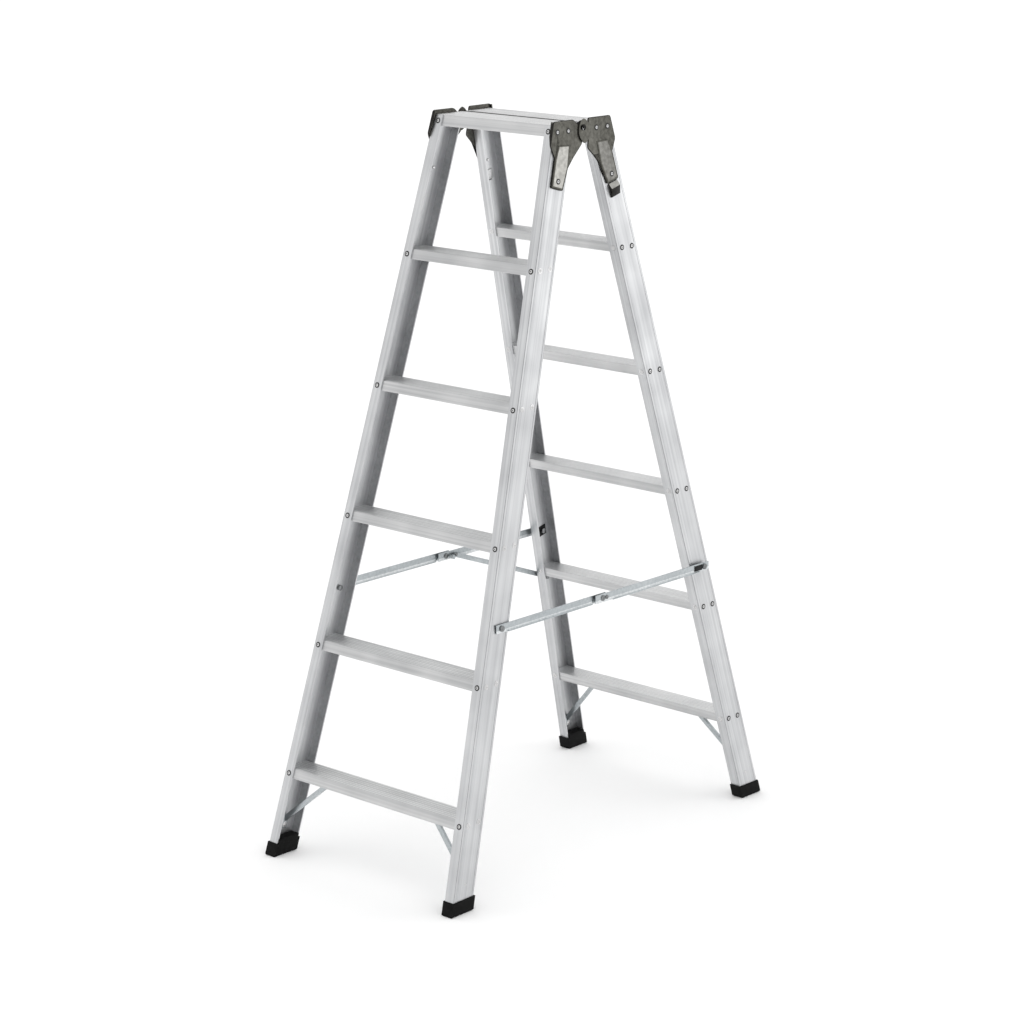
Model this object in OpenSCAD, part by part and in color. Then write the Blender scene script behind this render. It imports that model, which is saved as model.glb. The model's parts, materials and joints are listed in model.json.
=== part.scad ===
// Trestle ladder: two hinged sections of channel stiles and ribbed rungs, held open by folding stays
// Millimetres, Z up, floor at Z 0, rungs along X, front section towards -Y

/* [Overall] */
// Height of the top treads above the floor when open
top_height = 1700; // [1400:1:2100]
// Width across the stile webs at the hinge axis
top_width = 361; // [300:1:460]
// Width across the stile webs at the floor
foot_width = 592; // [480:1:720]
// Lean of each section from upright when open, in degrees
lean = 15.4; // [13:0.1:17]
// Hinge axis below the tread tops
hinge_drop = 10.5; // [9:0.1:13]
// Hinge axis to the outer face of a section
face_reach = 92.4; // [85:0.1:105]

/* [Stiles] */
// Channel depth from outer flange to inner flange
stile_depth = 65; // [58:0.5:70]
// Channel width from web to flange tip
stile_flange = 26; // [22:0.5:34]
// Wall of the channel
stile_wall = 2; // [1.5:0.1:2.5]
// Thickened flange tip, total thickness
tip_thick = 3; // [2.6:0.1:3.5]
// Thickened flange tip, width
tip_width = 4; // [3:0.1:6]
// Bevel on the outer channel corners
corner_bevel = 0.8; // [0.4:0.1:1.2]
// Line groove in the web, distance from the flange face
groove_inset = 6; // [4:0.5:9]
// Line groove in the web, width
groove_width = 2; // [1:0.1:3]
// Line groove in the web, depth
groove_depth = 0.5; // [0.3:0.05:0.8]
// Stile end below the tread top
stile_top_drop = 1; // [0.5:0.1:3]

/* [Rungs] */
// Height of the lowest front rung's middle
lowest_rung = 195; // [170:1:240]
// Height from rung to rung
rung_pitch = 298; // [260:1:310]
// Rear rungs above the front rungs
rear_raise = 19.5; // [0:0.5:26]
// Rung height
rung_height = 23.5; // [18:0.5:26]
// Rung wall
rung_wall = 1.6; // [1.2:0.1:2.2]
// Ribs on each rung
rung_ribs = 7; // [5:1:9]
// Rib height
rib_height = 1; // [0.6:0.1:1.4]
// Rib width as a share of the rib spacing
rib_share = 0.55; // [0.4:0.05:0.7]
// End plate of a rung or tread against the web
end_plate = 2; // [1.5:0.1:3]
// Gap between a rung and its channel
rung_fit = 0.2; // [0.1:0.05:0.4]

/* [Top treads] */
// Tread height
tread_height = 25; // [23:0.5:27]
// Tread wall
tread_wall = 2; // [1.6:0.1:2.6]
// Gap between the two treads
tread_gap = 10; // [9.5:0.5:14]
// Ribs on each tread
tread_ribs = 9; // [7:1:12]
// Gap between a tread end and the web
tread_fit = 1.5; // [1.2:0.1:2]

/* [Rivets] */
// Rivet shank radius
shank_radius = 2.4; // [2:0.1:2.8]
// Rivet head radius
head_radius = 5; // [4:0.1:5.2]
// Rivet head height
head_height = 1.6; // [1:0.1:1.8]
// Mandrel hole radius in the head
mandrel_radius = 1.4; // [1:0.1:1.8]
// Mandrel hole depth
mandrel_depth = 0.7; // [0.4:0.1:0.9]
// Set end radius behind the sheet
set_radius = 3.3; // [3:0.1:3.6]
// Set end length
set_length = 3; // [2.5:0.1:4]
// Gap round a shank
hole_fit = 0.1; // [0.05:0.01:0.2]
// Flange rivet distance from the web face
rivet_inset = 12.5; // [11.5:0.1:15]
// Tread rivet distance from the web face
tread_rivet_inset = 15; // [13:0.1:16]
// Web rivets each side of the channel middle
web_spread = 16.4; // [14:0.1:18]

/* [Feet] */
// Boot wall round the channel
boot_wall = 2.6; // [2:0.1:3.5]
// Boot height
boot_height = 32; // [28:0.5:38]
// Boot plug height inside the channel
plug_height = 41; // [39:0.5:50]
// Sole under the channel end
sole_thick = 9; // [7:0.5:12]
// Bevel round the sole
sole_bevel = 3; // [2:0.1:4]
// Sole groove width
sole_groove = 5; // [3:0.5:6]
// Sole groove depth
sole_groove_depth = 2; // [1:0.1:3]
// Number of sole grooves
sole_grooves = 4; // [3:1:5]
// Gap between boot and channel
boot_fit = 0.2; // [0.1:0.05:0.4]

/* [Struts] */
// Strut bar height, seen from the front
strut_height = 11; // [9:0.5:13]
// Strut bar width, front to back
strut_width = 7; // [5:0.5:9]
// Thickness of the flattened strut ends
strut_thick = 2.5; // [2:0.1:3.5]
// Width of the flattened strut ends
strut_pad_width = 17; // [15:0.5:20]
// Flattened end from its rivet towards the bar
strut_flat = 23; // [22:0.5:28]
// Flattened end beyond its rivet
strut_tail = 9; // [7:0.5:12]
// Strut's upper rivet from the web face, along the rung
strut_reach = 128; // [115:1:150]
// Strut's lower end above the boot plug
strut_clear = 14; // [8:1:25]

/* [Hinge plates] */
// Hinge plate thickness
plate_thick = 3; // [2.5:0.1:3.6]
// Gap between the lapping plates
plate_gap = 0.9; // [0.8:0.1:1.4]
// Plate's top edge above the hinge axis
plate_rise = 19.5; // [18:0.5:24]
// Plate's outer edge beyond the stile face
plate_lip = 6; // [5.5:0.1:8]
// Turned edge of the plate over the stile face, from the web
plate_wrap = 5; // [3:0.1:7]
// Length over which the turned edge tapers away
plate_taper = 22; // [15:1:28]
// Length of the plate's outer edge below the hinge axis
plate_lip_length = 62; // [56:1:68]
// Length over which the outer edge steps back
plate_step_length = 23; // [18:1:30]
// Plate arm's outer edge behind the stile face
plate_arm_inset = 13; // [9:0.5:16]
// Plate arm's inner edge behind the stile face, upper end
plate_arm_depth = 62; // [58:0.5:64]
// Plate arm's inner edge behind the stile face, lower end
plate_foot_depth = 54; // [48:0.5:57]
// Start of the plate arm below the hinge axis, along the stile
plate_arm_start = 98; // [94:1:106]
// Plate length below the hinge axis, along the stile
plate_length = 151; // [146:1:160]
// Inner end of the plate's top edge, from the middle
neck_reach = 30; // [28:0.5:34]
// Plate shoulder from the middle
shoulder_reach = 14; // [12:0.5:15]
// Plate shoulder above the hinge axis
shoulder_rise = 6.5; // [5:0.5:8]
// Round end of the front plate at the pin
knuckle_radius = 15.5; // [15:0.1:16.5]
// Lowest point of the front plate near the middle, below the hinge axis
crotch_drop = 36; // [33:0.5:38]
// Lowest point of the front plate near the middle, from the middle
crotch_reach = 2; // [1.5:0.1:4]
// Plate elbow below the hinge axis
elbow_drop = 65; // [62:0.5:70]
// Plate elbow from the middle
elbow_reach = 35; // [33:0.5:40]
// Rear plate's inner edge at the top, from the middle
rear_edge_reach = 22; // [20.5:0.1:25]
// Rear plate's inner edge at its notch, from the middle
notch_reach = 19.5; // [19:0.1:21]
// Rear plate's notch below the hinge axis
notch_drop = 31; // [29:0.5:33]
// Rear plate's toe from the middle
toe_reach = 16.5; // [15:0.1:18]
// Rear plate's toe below the hinge axis
toe_drop = 48; // [46:0.5:50]
// Leaf-shaped lug of the rear plate, length
lug_length = 55; // [52:0.5:57]
// Leaf-shaped lug, width
lug_width = 38; // [36.5:0.5:40]
// Middle of the lug from the middle plane
lug_reach = 4; // [3:0.1:5]
// Middle of the lug below the hinge axis
lug_drop = 8.5; // [7:0.5:10]
// Raised panel height
panel_height = 1.6; // [1:0.1:2]
// Raised panel's upper outer corner behind the stile face
panel_outer = 20.5; // [18:0.5:26]
// Raised panel's upper outer corner below the hinge axis, along the stile
panel_outer_drop = 55; // [50:1:60]
// Raised panel's upper inner corner behind the stile face
panel_inner = 56.5; // [50:0.5:60]
// Raised panel's upper inner corner below the hinge axis, along the stile
panel_inner_drop = 47; // [42:1:54]
// Raised panel's edge inside the plate's edge
panel_margin = 2.5; // [2:0.1:4]
// Upper outer plate rivet behind the stile face
plate_rivet_outer = 11; // [9:0.5:14]
// Upper inner plate rivet behind the stile face
plate_rivet_inner = 47; // [44:0.5:50]
// Upper plate rivets below the tread tops
plate_rivet_drop = 15; // [13:0.5:17]
// Lower plate rivet behind the stile face
plate_rivet_low_depth = 33; // [30:0.5:38]
// Lower plate rivet below the hinge axis, along the stile
plate_rivet_low = 133; // [128:1:138]

/* [Hinge pins] */
// Hinge pin radius
pin_radius = 4.4; // [4:0.05:4.6]
// Running gap round a pin
pin_fit = 0.08; // [0.05:0.01:0.1]
// Hinge pin head radius
pin_head_radius = 6.8; // [6.2:0.1:9.5]
// Hinge pin outer head height
pin_head_height = 2.6; // [2:0.1:3.4]
// Hinge pin inner head height
pin_foot_height = 1.6; // [1.2:0.1:1.8]
// Gap under a pin head
pin_head_gap = 0.7; // [0.6:0.05:0.9]
// Dimple radius in the pin head
dimple_radius = 3.4; // [2.6:0.1:4]
// Dimple depth
dimple_depth = 1; // [0.6:0.1:1.4]

/* [Hinge lock tabs] */
// Lock tab width across the stile
lock_width = 30; // [26:0.5:34]
// Lock tab length along the stile
lock_length = 33; // [30:0.5:38]
// Lock tab height off the web
lock_height = 9; // [7:0.5:12]
// Lock tab base height at its upper edge
lock_base = 2.6; // [2:0.1:3.5]
// Lock tab height at its lower edge
lock_toe = 3.4; // [2.8:0.1:5]
// Length of the sloping upper face
lock_slope = 12; // [9:0.5:15]
// Gap between plate end and lock tab
lock_gap = 1.5; // [1:0.1:3]
// Lock tab middle behind the stile face
lock_depth = 33; // [31:0.5:35]
// Stem through the web, width
lock_stem_width = 10; // [8:0.5:14]
// Stem through the web, length
lock_stem_length = 14; // [12:0.5:18]
// Keeper plate behind the web, overhang round the stem
lock_keeper = 5; // [4:0.5:7]
// Keeper plate thickness
lock_keeper_thick = 2; // [1.5:0.1:3]
// Travel of the lock tab
lock_travel = 8; // [5:0.5:10]
// Gap round the sliding lock tab
lock_fit = 0.3; // [0.25:0.05:0.5]

/* [Stays] */
// Height of the stays
stay_height = 615; // [560:1:640]
// Front stay bolt behind the stile face
stay_front_depth = 37.5; // [32:0.5:40]
// Rear stay bolt behind the stile face
stay_rear_depth = 27; // [25:0.5:34]
// Height of a stay bar
stay_bar = 20; // [18:0.5:22]
// Thickness of a stay bar
stay_thick = 2; // [1.6:0.1:2.4]
// Turned lip along the lower edge
stay_lip = 4; // [3:0.1:4.5]
// Lip starts this far from the bolts
lip_start = 20; // [18:1:60]
// Lip starts this far from the middle pin
lip_mid_start = 33; // [30:1:60]
// Bar end beyond a stile bolt
stay_end = 17; // [14:0.5:20]
// Rear bar's end beyond the middle pin
stay_lap = 26; // [20:0.5:28]
// Inner bar off the web
stay_stand = 2.6; // [2.4:0.1:3.2]
// Left rear bar off the web
stay_left_stand = 6.4; // [6:0.1:7.5]
// Gap between lapping bars beyond the lip
stay_gap = 0.6; // [0.5:0.1:1]
// Right middle pin from the middle plane, towards the rear
right_mid = -12; // [-20:0.5:10]
// Left middle pin from the middle plane, towards the rear
left_mid = 21; // [10:0.5:26]
// Second rivet of the right rear bar from its middle pin
right_stud = 13.5; // [12:0.5:18]
// Second rivet of the left rear bar from its middle pin
left_stud = 26; // [22:0.5:30]
// Bolt radius
bolt_radius = 4; // [3.4:0.1:4.4]
// Bolt head radius
bolt_head_radius = 7; // [6:0.1:7.6]
// Bolt head height
bolt_head_height = 3; // [2.5:0.1:4]
// Gap beside a moving bar
bolt_gap = 0.3; // [0.2:0.05:0.4]
// Nut height
nut_height = 5; // [4:0.1:6]
// Dark backing plate behind a rear stay bolt, side
backing_side = 26; // [22:0.5:30]
// Dark backing plate thickness
backing_thick = 2; // [1.5:0.1:3]
// Dark pad on a rear bar, length
pad_length = 28; // [22:0.5:32]
// Dark pad on a rear bar, height
pad_height = 13; // [10:0.5:15]
// Dark pad on a rear bar, thickness
pad_thick = 1.5; // [1:0.1:2]
// Dark pad on a rear bar, distance from the bolt's axis
pad_offset = 9; // [8.5:0.1:12]
// Spacer tube radius
spacer_radius = 6.5; // [6:0.1:7]
// Gap between a spacer and the sloping web
spacer_gap = 0.7; // [0.6:0.05:0.9]
// Stud radius
stud_radius = 3.5; // [3:0.1:4]
// Stud head radius
stud_head_radius = 5; // [4.4:0.1:5.5]
// Stud and pin head height
stud_head_height = 1.8; // [1.4:0.1:2.1]

/* [Prop bar] */
// Prop bar width
prop_width = 12; // [10:0.5:14]
// Prop bar thickness
prop_thick = 2; // [1.6:0.1:2.2]
// Prop bar off the web
prop_stand = 2.6; // [2.4:0.1:3]
// Prop bolt below the underside of the second rear rung
prop_drop = 12.5; // [8:0.5:18]
// Prop bolt behind the stile face
prop_depth = 33; // [30:0.5:35]
// Gap round the stud in the prop's seat
prop_fit = 1; // [0.8:0.1:1.4]

/* [Hidden] */
$fn = 48;
// Cuts run past the faces they open by this share of the stile depth
over_share = 0.25;
over = stile_depth*over_share;
span = foot_width + top_height;
hinge_height = top_height - hinge_drop;
middle_depth = stile_depth/2;
slope_length = (hinge_height + (face_reach - middle_depth)*sin(lean))/cos(lean);
flare = atan2((foot_width - top_width)/2, slope_length);
recess = tip_thick + rung_fit;
tread_low = top_height - tread_height;
tread_middle = top_height - tread_height/2;
flange_grip = recess + rung_wall;
tread_grip = recess + tread_wall;
web_grip = stile_wall + rung_fit + end_plate;
plate_web_grip = plate_thick + stile_wall;
plate_tread_grip = plate_web_grip + tread_fit + end_plate;
panel_web_grip = panel_height + plate_web_grip;
plate_rivet_height = hinge_drop - plate_rivet_drop;
rung_count = 5;
front_rows = [for (k = [0:rung_count - 1]) lowest_rung + k*rung_pitch];
rear_rows = [for (z = front_rows) z + rear_raise];

// Distance of a section's outer face from the middle plane at height z
function face_at(z) = (face_reach - (z - hinge_height)*sin(lean))/cos(lean);
// Y of a point at a depth behind the front section's outer face
function depth_y(depth, z) = depth/cos(lean) - face_at(z);
// Position along the stile of a point at a depth and height
function along(depth, z) = (depth_y(depth, z)*sin(lean) + (z - hinge_height)*cos(lean));
function row(depth, z) = along(depth, z)/cos(flare);
// Half width across a plane lying out from the web face, at a position along the section
function half_at(out, slope) = top_width/2 + out/cos(flare) - slope*tan(flare);
// Section coordinates of a point from its distance to the middle plane and its rise above the hinge axis
function in_section(reach, rise) = [-reach*cos(lean) - rise*sin(lean), rise*cos(lean) - reach*sin(lean)];
// Section coordinates of a point at a depth, along the stile from the hinge axis
function on_stile(depth, drop) = [depth - face_reach, -drop];
// Position along the stile of a point at a depth and a rise above the hinge axis
function risen(depth, rise) = (rise + (depth - face_reach)*sin(lean))/cos(lean);

stay_x = half_at(0, along(stay_front_depth, stay_height));
rear_stay_x = half_at(0, along(stay_rear_depth, stay_height));
stay_front_y = depth_y(stay_front_depth, stay_height);
stay_rear_y = -depth_y(stay_rear_depth, stay_height);
right_front_out = stay_x + stay_stand;
right_rear_out = right_front_out + stay_thick + stay_lip + stay_gap;
left_rear_out = stay_x + stay_left_stand;
left_front_out = left_rear_out + stay_thick + stay_lip + stay_gap;
prop_height = rear_rows[1] - rung_height/2 - prop_drop;
prop_foot = on_stile(prop_depth, -along(prop_depth, prop_height));
prop_head = in_section(left_mid + left_stud, stay_height - hinge_height);
prop_length = norm(prop_head - prop_foot);
prop_turn = atan2(prop_head[1] - prop_foot[1], prop_head[0] - prop_foot[0]);
seat_radius = stud_radius + prop_fit;

// Frames: a leaning section, one stile's web with its outer face at X 0, both sides, the rear section
module section() translate([0, 0, hinge_height]) rotate([-lean, 0, 0]) children();
module web() section() translate([top_width/2, 0, 0]) rotate([0, -flare, 0]) children();
module left() mirror([1, 0, 0]) children();
module rear() mirror([0, 1, 0]) children();
module both() {
  children();
  left() children();
}

// Outline in Y and Z drawn along X
module along_x(length) rotate([90, 0, 90]) linear_extrude(height = length, center = true) children();
module plate_on_web(thick) rotate([90, 0, 90]) linear_extrude(height = thick) children();

// Space between the webs, set in from their outer faces
module between_webs(inset) {
  ends = [-slope_length - over, face_reach];
  section() rotate([90, 0, 0]) linear_extrude(height = span, center = true)
    polygon([
      [-half_at(-inset, ends[0]), ends[0]],
      [half_at(-inset, ends[0]), ends[0]],
      [half_at(-inset, ends[1]), ends[1]],
      [-half_at(-inset, ends[1]), ends[1]]
    ]);
}

// Level slab from one height to another
module level(low, high) translate([-span/2, -span/2, low]) cube([span, span, high - low]);

// Blind rivet standing on the sheet at Z 0
module rivet(grip) rotate_extrude() polygon([
  [0, head_height - mandrel_depth],
  [mandrel_radius, head_height - mandrel_depth],
  [mandrel_radius, head_height],
  [head_radius*rivet_crown_share, head_height],
  [head_radius, head_height*rivet_edge_share],
  [head_radius, 0],
  [shank_radius, 0],
  [shank_radius, -grip],
  [set_radius, -grip],
  [set_radius, -grip - set_length],
  [0, -grip - set_length]
]);
rivet_crown_share = 0.68;
rivet_edge_share = 0.4;

module rivet_hole(grip) translate([0, 0, -grip - set_length])
  cylinder(r = shank_radius + hole_fit, h = grip + set_length + over);

// Rivet places of one rung end, right stile
module at_outer_flange(z) web() translate([-rivet_inset, -face_reach, row(0, z)])
  rotate([90, 0, 0]) children();
module at_tread_flange() web() translate([-tread_rivet_inset, -face_reach, row(0, tread_middle)])
  rotate([90, 0, 0]) children();
module at_inner_flange(z) web() translate([-rivet_inset, stile_depth - face_reach, row(stile_depth, z)])
  rotate([-90, 0, 0]) children();
module at_web(z) for (side = [-1, 1]) {
  depth = middle_depth + side*web_spread;
  web() translate([0, depth - face_reach, row(depth, z)]) rotate([0, 90, 0]) children();
}

// Rivet places of one hinge plate, right stile
module at_plate_top() for (depth = [plate_rivet_outer, plate_rivet_inner])
  web() translate([plate_thick, depth - face_reach, risen(depth, plate_rivet_height)])
    rotate([0, 90, 0]) children();
module at_plate_low()
  web() translate([plate_thick + panel_height, plate_rivet_low_depth - face_reach, -plate_rivet_low])
  rotate([0, 90, 0]) children();

// Rivet places of one strut, right side
function strut_x(z) = half_at(-strut_reach, along(middle_depth, z));
module at_strut_top(z) {
  low = z - rung_height/2;
  translate([strut_x(z), depth_y(middle_depth, low), low - rung_fit - strut_thick])
    rotate([180, 0, 0]) children();
}
strut_foot = plug_height + strut_clear + strut_tail;
strut_row = row(middle_depth, strut_foot);
module at_strut_low() web()
  translate([-stile_wall - rung_fit - strut_thick, middle_depth - face_reach, strut_row])
  rotate([0, -90, 0]) children();
module strut_hole() translate([0, 0, -stile_flange])
  cylinder(r = shank_radius + hole_fit, h = stile_flange + over);
strut_top_grip = strut_thick + rung_fit + rung_wall;

// Stile bolts of the stays, along X
module at_stay_front() translate([0, stay_front_y, stay_height]) rotate([0, 90, 0]) children();
module at_stay_rear() translate([0, stay_rear_y, stay_height]) rotate([0, 90, 0]) children();
module at_prop() rear() left() web() translate([0, prop_foot[0], prop_foot[1]/cos(flare)])
  rotate([0, 90, 0]) children();

// Channel outline of a right stile, grown or shrunk on every face
function channel(grow) = let(
  front = -face_reach - grow,
  back = stile_depth - face_reach + grow,
  tip = -stile_flange - grow,
  inner = -stile_wall - grow,
  step = tip + tip_width + grow + grow
) [
  [grow - corner_bevel, front],
  [grow, front + corner_bevel],
  [grow, front + groove_inset],
  [grow - groove_depth, front + groove_inset],
  [grow - groove_depth, front + groove_inset + groove_width],
  [grow, front + groove_inset + groove_width],
  [grow, back - groove_inset - groove_width],
  [grow - groove_depth, back - groove_inset - groove_width],
  [grow - groove_depth, back - groove_inset],
  [grow, back - groove_inset],
  [grow, back - corner_bevel],
  [grow - corner_bevel, back],
  [tip, back],
  [tip, back - tip_thick - grow - grow],
  [step, back - tip_thick - grow - grow],
  [step, back - stile_wall - grow - grow],
  [inner, back - stile_wall - grow - grow],
  [inner, front + stile_wall + grow + grow],
  [step, front + stile_wall + grow + grow],
  [step, front + tip_thick + grow + grow],
  [tip, front + tip_thick + grow + grow],
  [tip, front]
];

module channel_bar(grow) web() translate([0, 0, -slope_length - over])
  linear_extrude(height = slope_length + over + face_reach) polygon(channel(grow));

// Outline of a ribbed step in Y and Z, from a leaning front edge to a back edge
function ribs(front, back, top, count) = let(pitch = (back - front)/count, land = pitch*rib_share) [
  for (k = [count - 1:-1:0]) let(middle = front + k*pitch + pitch/2) each [
    [middle + land/2, top - rib_height],
    [middle + land/2*rib_crown_share, top],
    [middle - land/2*rib_crown_share, top],
    [middle - land/2, top - rib_height]
  ]
];
rib_crown_share = 0.7;

function rung_shape(z) = let(
  low = z - rung_height/2,
  top = z + rung_height/2,
  bed = top - rib_height,
  far = stile_depth - recess
) concat(
  [[depth_y(recess, low), low], [depth_y(far, low), low], [depth_y(far, bed), bed]],
  ribs(depth_y(recess, bed), depth_y(far, bed), top, rung_ribs),
  [[depth_y(recess, bed), bed]]
);
function rung_core(z) = let(
  low = z - rung_height/2 + rung_wall,
  top = z + rung_height/2 - rib_height - rung_wall,
  near = recess + rung_wall
) [
  [depth_y(near, low), low],
  [depth_y(stile_depth - near, low), low],
  [depth_y(stile_depth - near, top), top],
  [depth_y(near, top), top]
];
tread_bed = top_height - rib_height;
tread_back = -tread_gap/2;
function tread_shape() = concat(
  [[depth_y(recess, tread_low), tread_low], [tread_back, tread_low], [tread_back, tread_bed]],
  ribs(depth_y(recess, tread_bed), tread_back, top_height, tread_ribs),
  [[depth_y(recess, tread_bed), tread_bed]]
);
function tread_core() = let(
  low = tread_low + tread_wall,
  top = tread_bed - tread_wall,
  near = recess + tread_wall
) [
  [depth_y(near, low), low],
  [tread_back - tread_wall, low],
  [tread_back - tread_wall, top],
  [depth_y(near, top), top]
];

// One right stile with its rivet holes
module stile(rows) difference() {
  intersection() {
    channel_bar(0);
    level(sole_thick + boot_fit, top_height - stile_top_drop);
  }
  intersection() {
    between_webs(stile_wall);
    along_x(span) polygon([
      [depth_y(recess - rung_fit, tread_low - rung_fit), tread_low - rung_fit],
      [over, tread_low - rung_fit],
      [over, top_height + over],
      [depth_y(recess - rung_fit, top_height + over), top_height + over]
    ]);
  }
  for (z = rows) {
    at_outer_flange(z) rivet_hole(flange_grip);
    at_inner_flange(z) rivet_hole(flange_grip);
    at_web(z) rivet_hole(web_grip);
  }
  at_tread_flange() rivet_hole(tread_grip);
  at_plate_top() rivet_hole(plate_tread_grip);
  at_plate_low() rivet_hole(panel_web_grip);
  at_strut_low() strut_hole();
}

module bolt_hole() cylinder(r = bolt_radius + hole_fit, h = span, center = true);

module front_stile() difference() {
  stile(front_rows);
  at_stay_front() bolt_hole();
}
module rear_stile() difference() {
  rear() stile(rear_rows);
  at_stay_rear() bolt_hole();
  rear() lock_window();
}

// One rung with both end plates
module rung(z) difference() {
  intersection() {
    along_x(span) polygon(rung_shape(z));
    between_webs(stile_wall + rung_fit);
  }
  intersection() {
    along_x(span) polygon(rung_core(z));
    between_webs(stile_wall + rung_fit + end_plate);
  }
  both() {
    at_outer_flange(z) rivet_hole(flange_grip);
    at_inner_flange(z) rivet_hole(flange_grip);
    at_web(z) rivet_hole(web_grip);
  }
}
// Lowest rung, with holes for the strut rivets
module low_rung(z) difference() {
  rung(z);
  both() at_strut_top(z) rivet_hole(strut_top_grip);
}

module tread() difference() {
  intersection() {
    along_x(span) polygon(tread_shape());
    between_webs(stile_wall + tread_fit);
  }
  intersection() {
    along_x(span) polygon(tread_core());
    between_webs(stile_wall + tread_fit + end_plate);
  }
  both() {
    at_tread_flange() rivet_hole(tread_grip);
    at_plate_top() rivet_hole(plate_tread_grip);
  }
}

// Rivets of one section
module flange_rivets(rows) both() {
  for (z = rows) {
    at_outer_flange(z) rivet(flange_grip);
    at_inner_flange(z) rivet(flange_grip);
  }
  at_tread_flange() rivet(tread_grip);
}
module web_rivets(rows) both() for (z = rows) at_web(z) rivet(web_grip);
module plate_rivets() both() {
  at_plate_top() rivet(plate_tread_grip);
  at_plate_low() rivet(panel_web_grip);
}
module strut_rivets(rows) both() {
  at_strut_top(rows[0]) rivet(strut_top_grip);
  at_strut_low() strut_pin();
}
// Strut rivet in the web, set flush outside
module strut_pin() {
  cylinder(r = head_radius, h = head_height);
  translate([0, 0, -strut_thick - rung_fit - stile_wall])
    cylinder(r = shank_radius, h = strut_thick + rung_fit + stile_wall + head_height/2);
}

// One diagonal strut with flattened ends, right side
module strut(z) {
  low = z - rung_height/2;
  foot = along(middle_depth, strut_foot) + strut_flat*strut_join_share;
  start = [strut_x(z) + strut_flat*strut_join_share, along(middle_depth, low)];
  finish = [half_at(-stile_wall, foot), foot];
  reach = norm(finish - start) + strut_height + strut_height;
  turn = atan2(finish[1] - start[1], finish[0] - start[0]);
  difference() {
    union() {
      intersection() {
        section() translate([start[0], middle_depth - face_reach, start[1]]) rotate([0, -turn, 0])
          translate([-strut_height, -strut_width/2, -strut_height/2])
          cube([reach, strut_width, strut_height]);
        level(0, low - rung_fit - strut_thick/2);
        between_webs(stile_wall + rung_fit + strut_thick/2);
      }
      translate([
        strut_x(z) - strut_tail,
        depth_y(middle_depth, low) - strut_pad_width/2,
        low - rung_fit - strut_thick
      ]) cube([strut_tail + strut_flat, strut_pad_width, strut_thick]);
      web() translate([
        -stile_wall - rung_fit - strut_thick,
        middle_depth - face_reach - strut_pad_width/2,
        strut_row - strut_tail
      ]) cube([strut_thick, strut_pad_width, strut_tail + strut_flat]);
    }
    at_strut_top(z) rivet_hole(strut_top_grip);
    at_strut_low() strut_hole();
  }
}
// Distance of the bar's joint from a rivet, as a share of the flattened end
strut_join_share = 0.6;

// One rubber boot round the right stile's end
module boot() difference() {
  union() {
    intersection() {
      web() translate([-stile_flange - boot_wall, -face_reach - boot_wall, -slope_length - over])
        cube([stile_flange + boot_wall + boot_wall, stile_depth + boot_wall + boot_wall, slope_length]);
      level(0, boot_height);
    }
    intersection() {
      web() translate([-stile_flange - boot_wall, tip_thick + boot_fit - face_reach, -slope_length - over])
        cube([stile_flange + boot_wall - stile_wall - boot_fit, plug_depth, slope_length]);
      level(0, plug_height);
    }
  }
  intersection() {
    channel_bar(boot_fit);
    level(sole_thick, boot_height + plug_height);
  }
  sole_cuts();
}
plug_depth = stile_depth - tip_thick - tip_thick - boot_fit - boot_fit;
foot_front = depth_y(-boot_wall, 0);
foot_back = depth_y(stile_depth + boot_wall, 0);
foot_outer = half_at(boot_wall, along(middle_depth, 0));
foot_inner = half_at(-stile_flange - boot_wall, along(middle_depth, 0));
// Bevels and grooves of the sole
module sole_cuts() {
  side = sole_bevel*sqrt(2);
  for (y = [foot_front, foot_back]) translate([foot_inner - over, y, 0]) rotate([45, 0, 0])
    translate([0, -side/2, -side/2]) cube([foot_outer - foot_inner + over + over, side, side]);
  for (x = [foot_inner, foot_outer]) translate([x, foot_front - over, 0]) rotate([0, 45, 0])
    translate([-side/2, 0, -side/2]) cube([side, foot_back - foot_front + over + over, side]);
  groove_pitch = (foot_back - foot_front)/(sole_grooves + 1);
  for (k = [1:sole_grooves])
    translate([foot_inner - over, foot_front + k*groove_pitch - sole_groove/2, -over])
    cube([foot_outer - foot_inner + over + over, sole_groove, over + sole_groove_depth]);
}

// Pressed hinge plates on the right stile
function plate_arm() = [
  on_stile(plate_arm_depth, plate_arm_start),
  on_stile(plate_foot_depth, plate_length),
  on_stile(plate_arm_inset, plate_length),
  on_stile(plate_arm_inset, plate_lip_length + plate_step_length),
  on_stile(-plate_lip, plate_lip_length),
  [-face_reach - plate_lip, risen(-plate_lip, plate_rise)]
];
module pin_hole() translate([0, 0, hinge_height]) rotate([0, 90, 0])
  cylinder(r = pin_radius + pin_fit, h = span, center = true);
// Raised panel of a plate, from below the upper rivets to the lower end
module panel() translate([plate_thick, 0, 0]) plate_on_web(panel_height) polygon([
  on_stile(panel_outer, panel_outer_drop),
  on_stile(panel_inner, panel_inner_drop),
  on_stile(plate_arm_depth - panel_margin, plate_arm_start),
  on_stile(plate_foot_depth - panel_margin, plate_length - panel_margin),
  on_stile(plate_arm_inset + panel_margin, plate_length - panel_margin),
  on_stile(plate_arm_inset + panel_margin, plate_lip_length + plate_step_length)
]);
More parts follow.
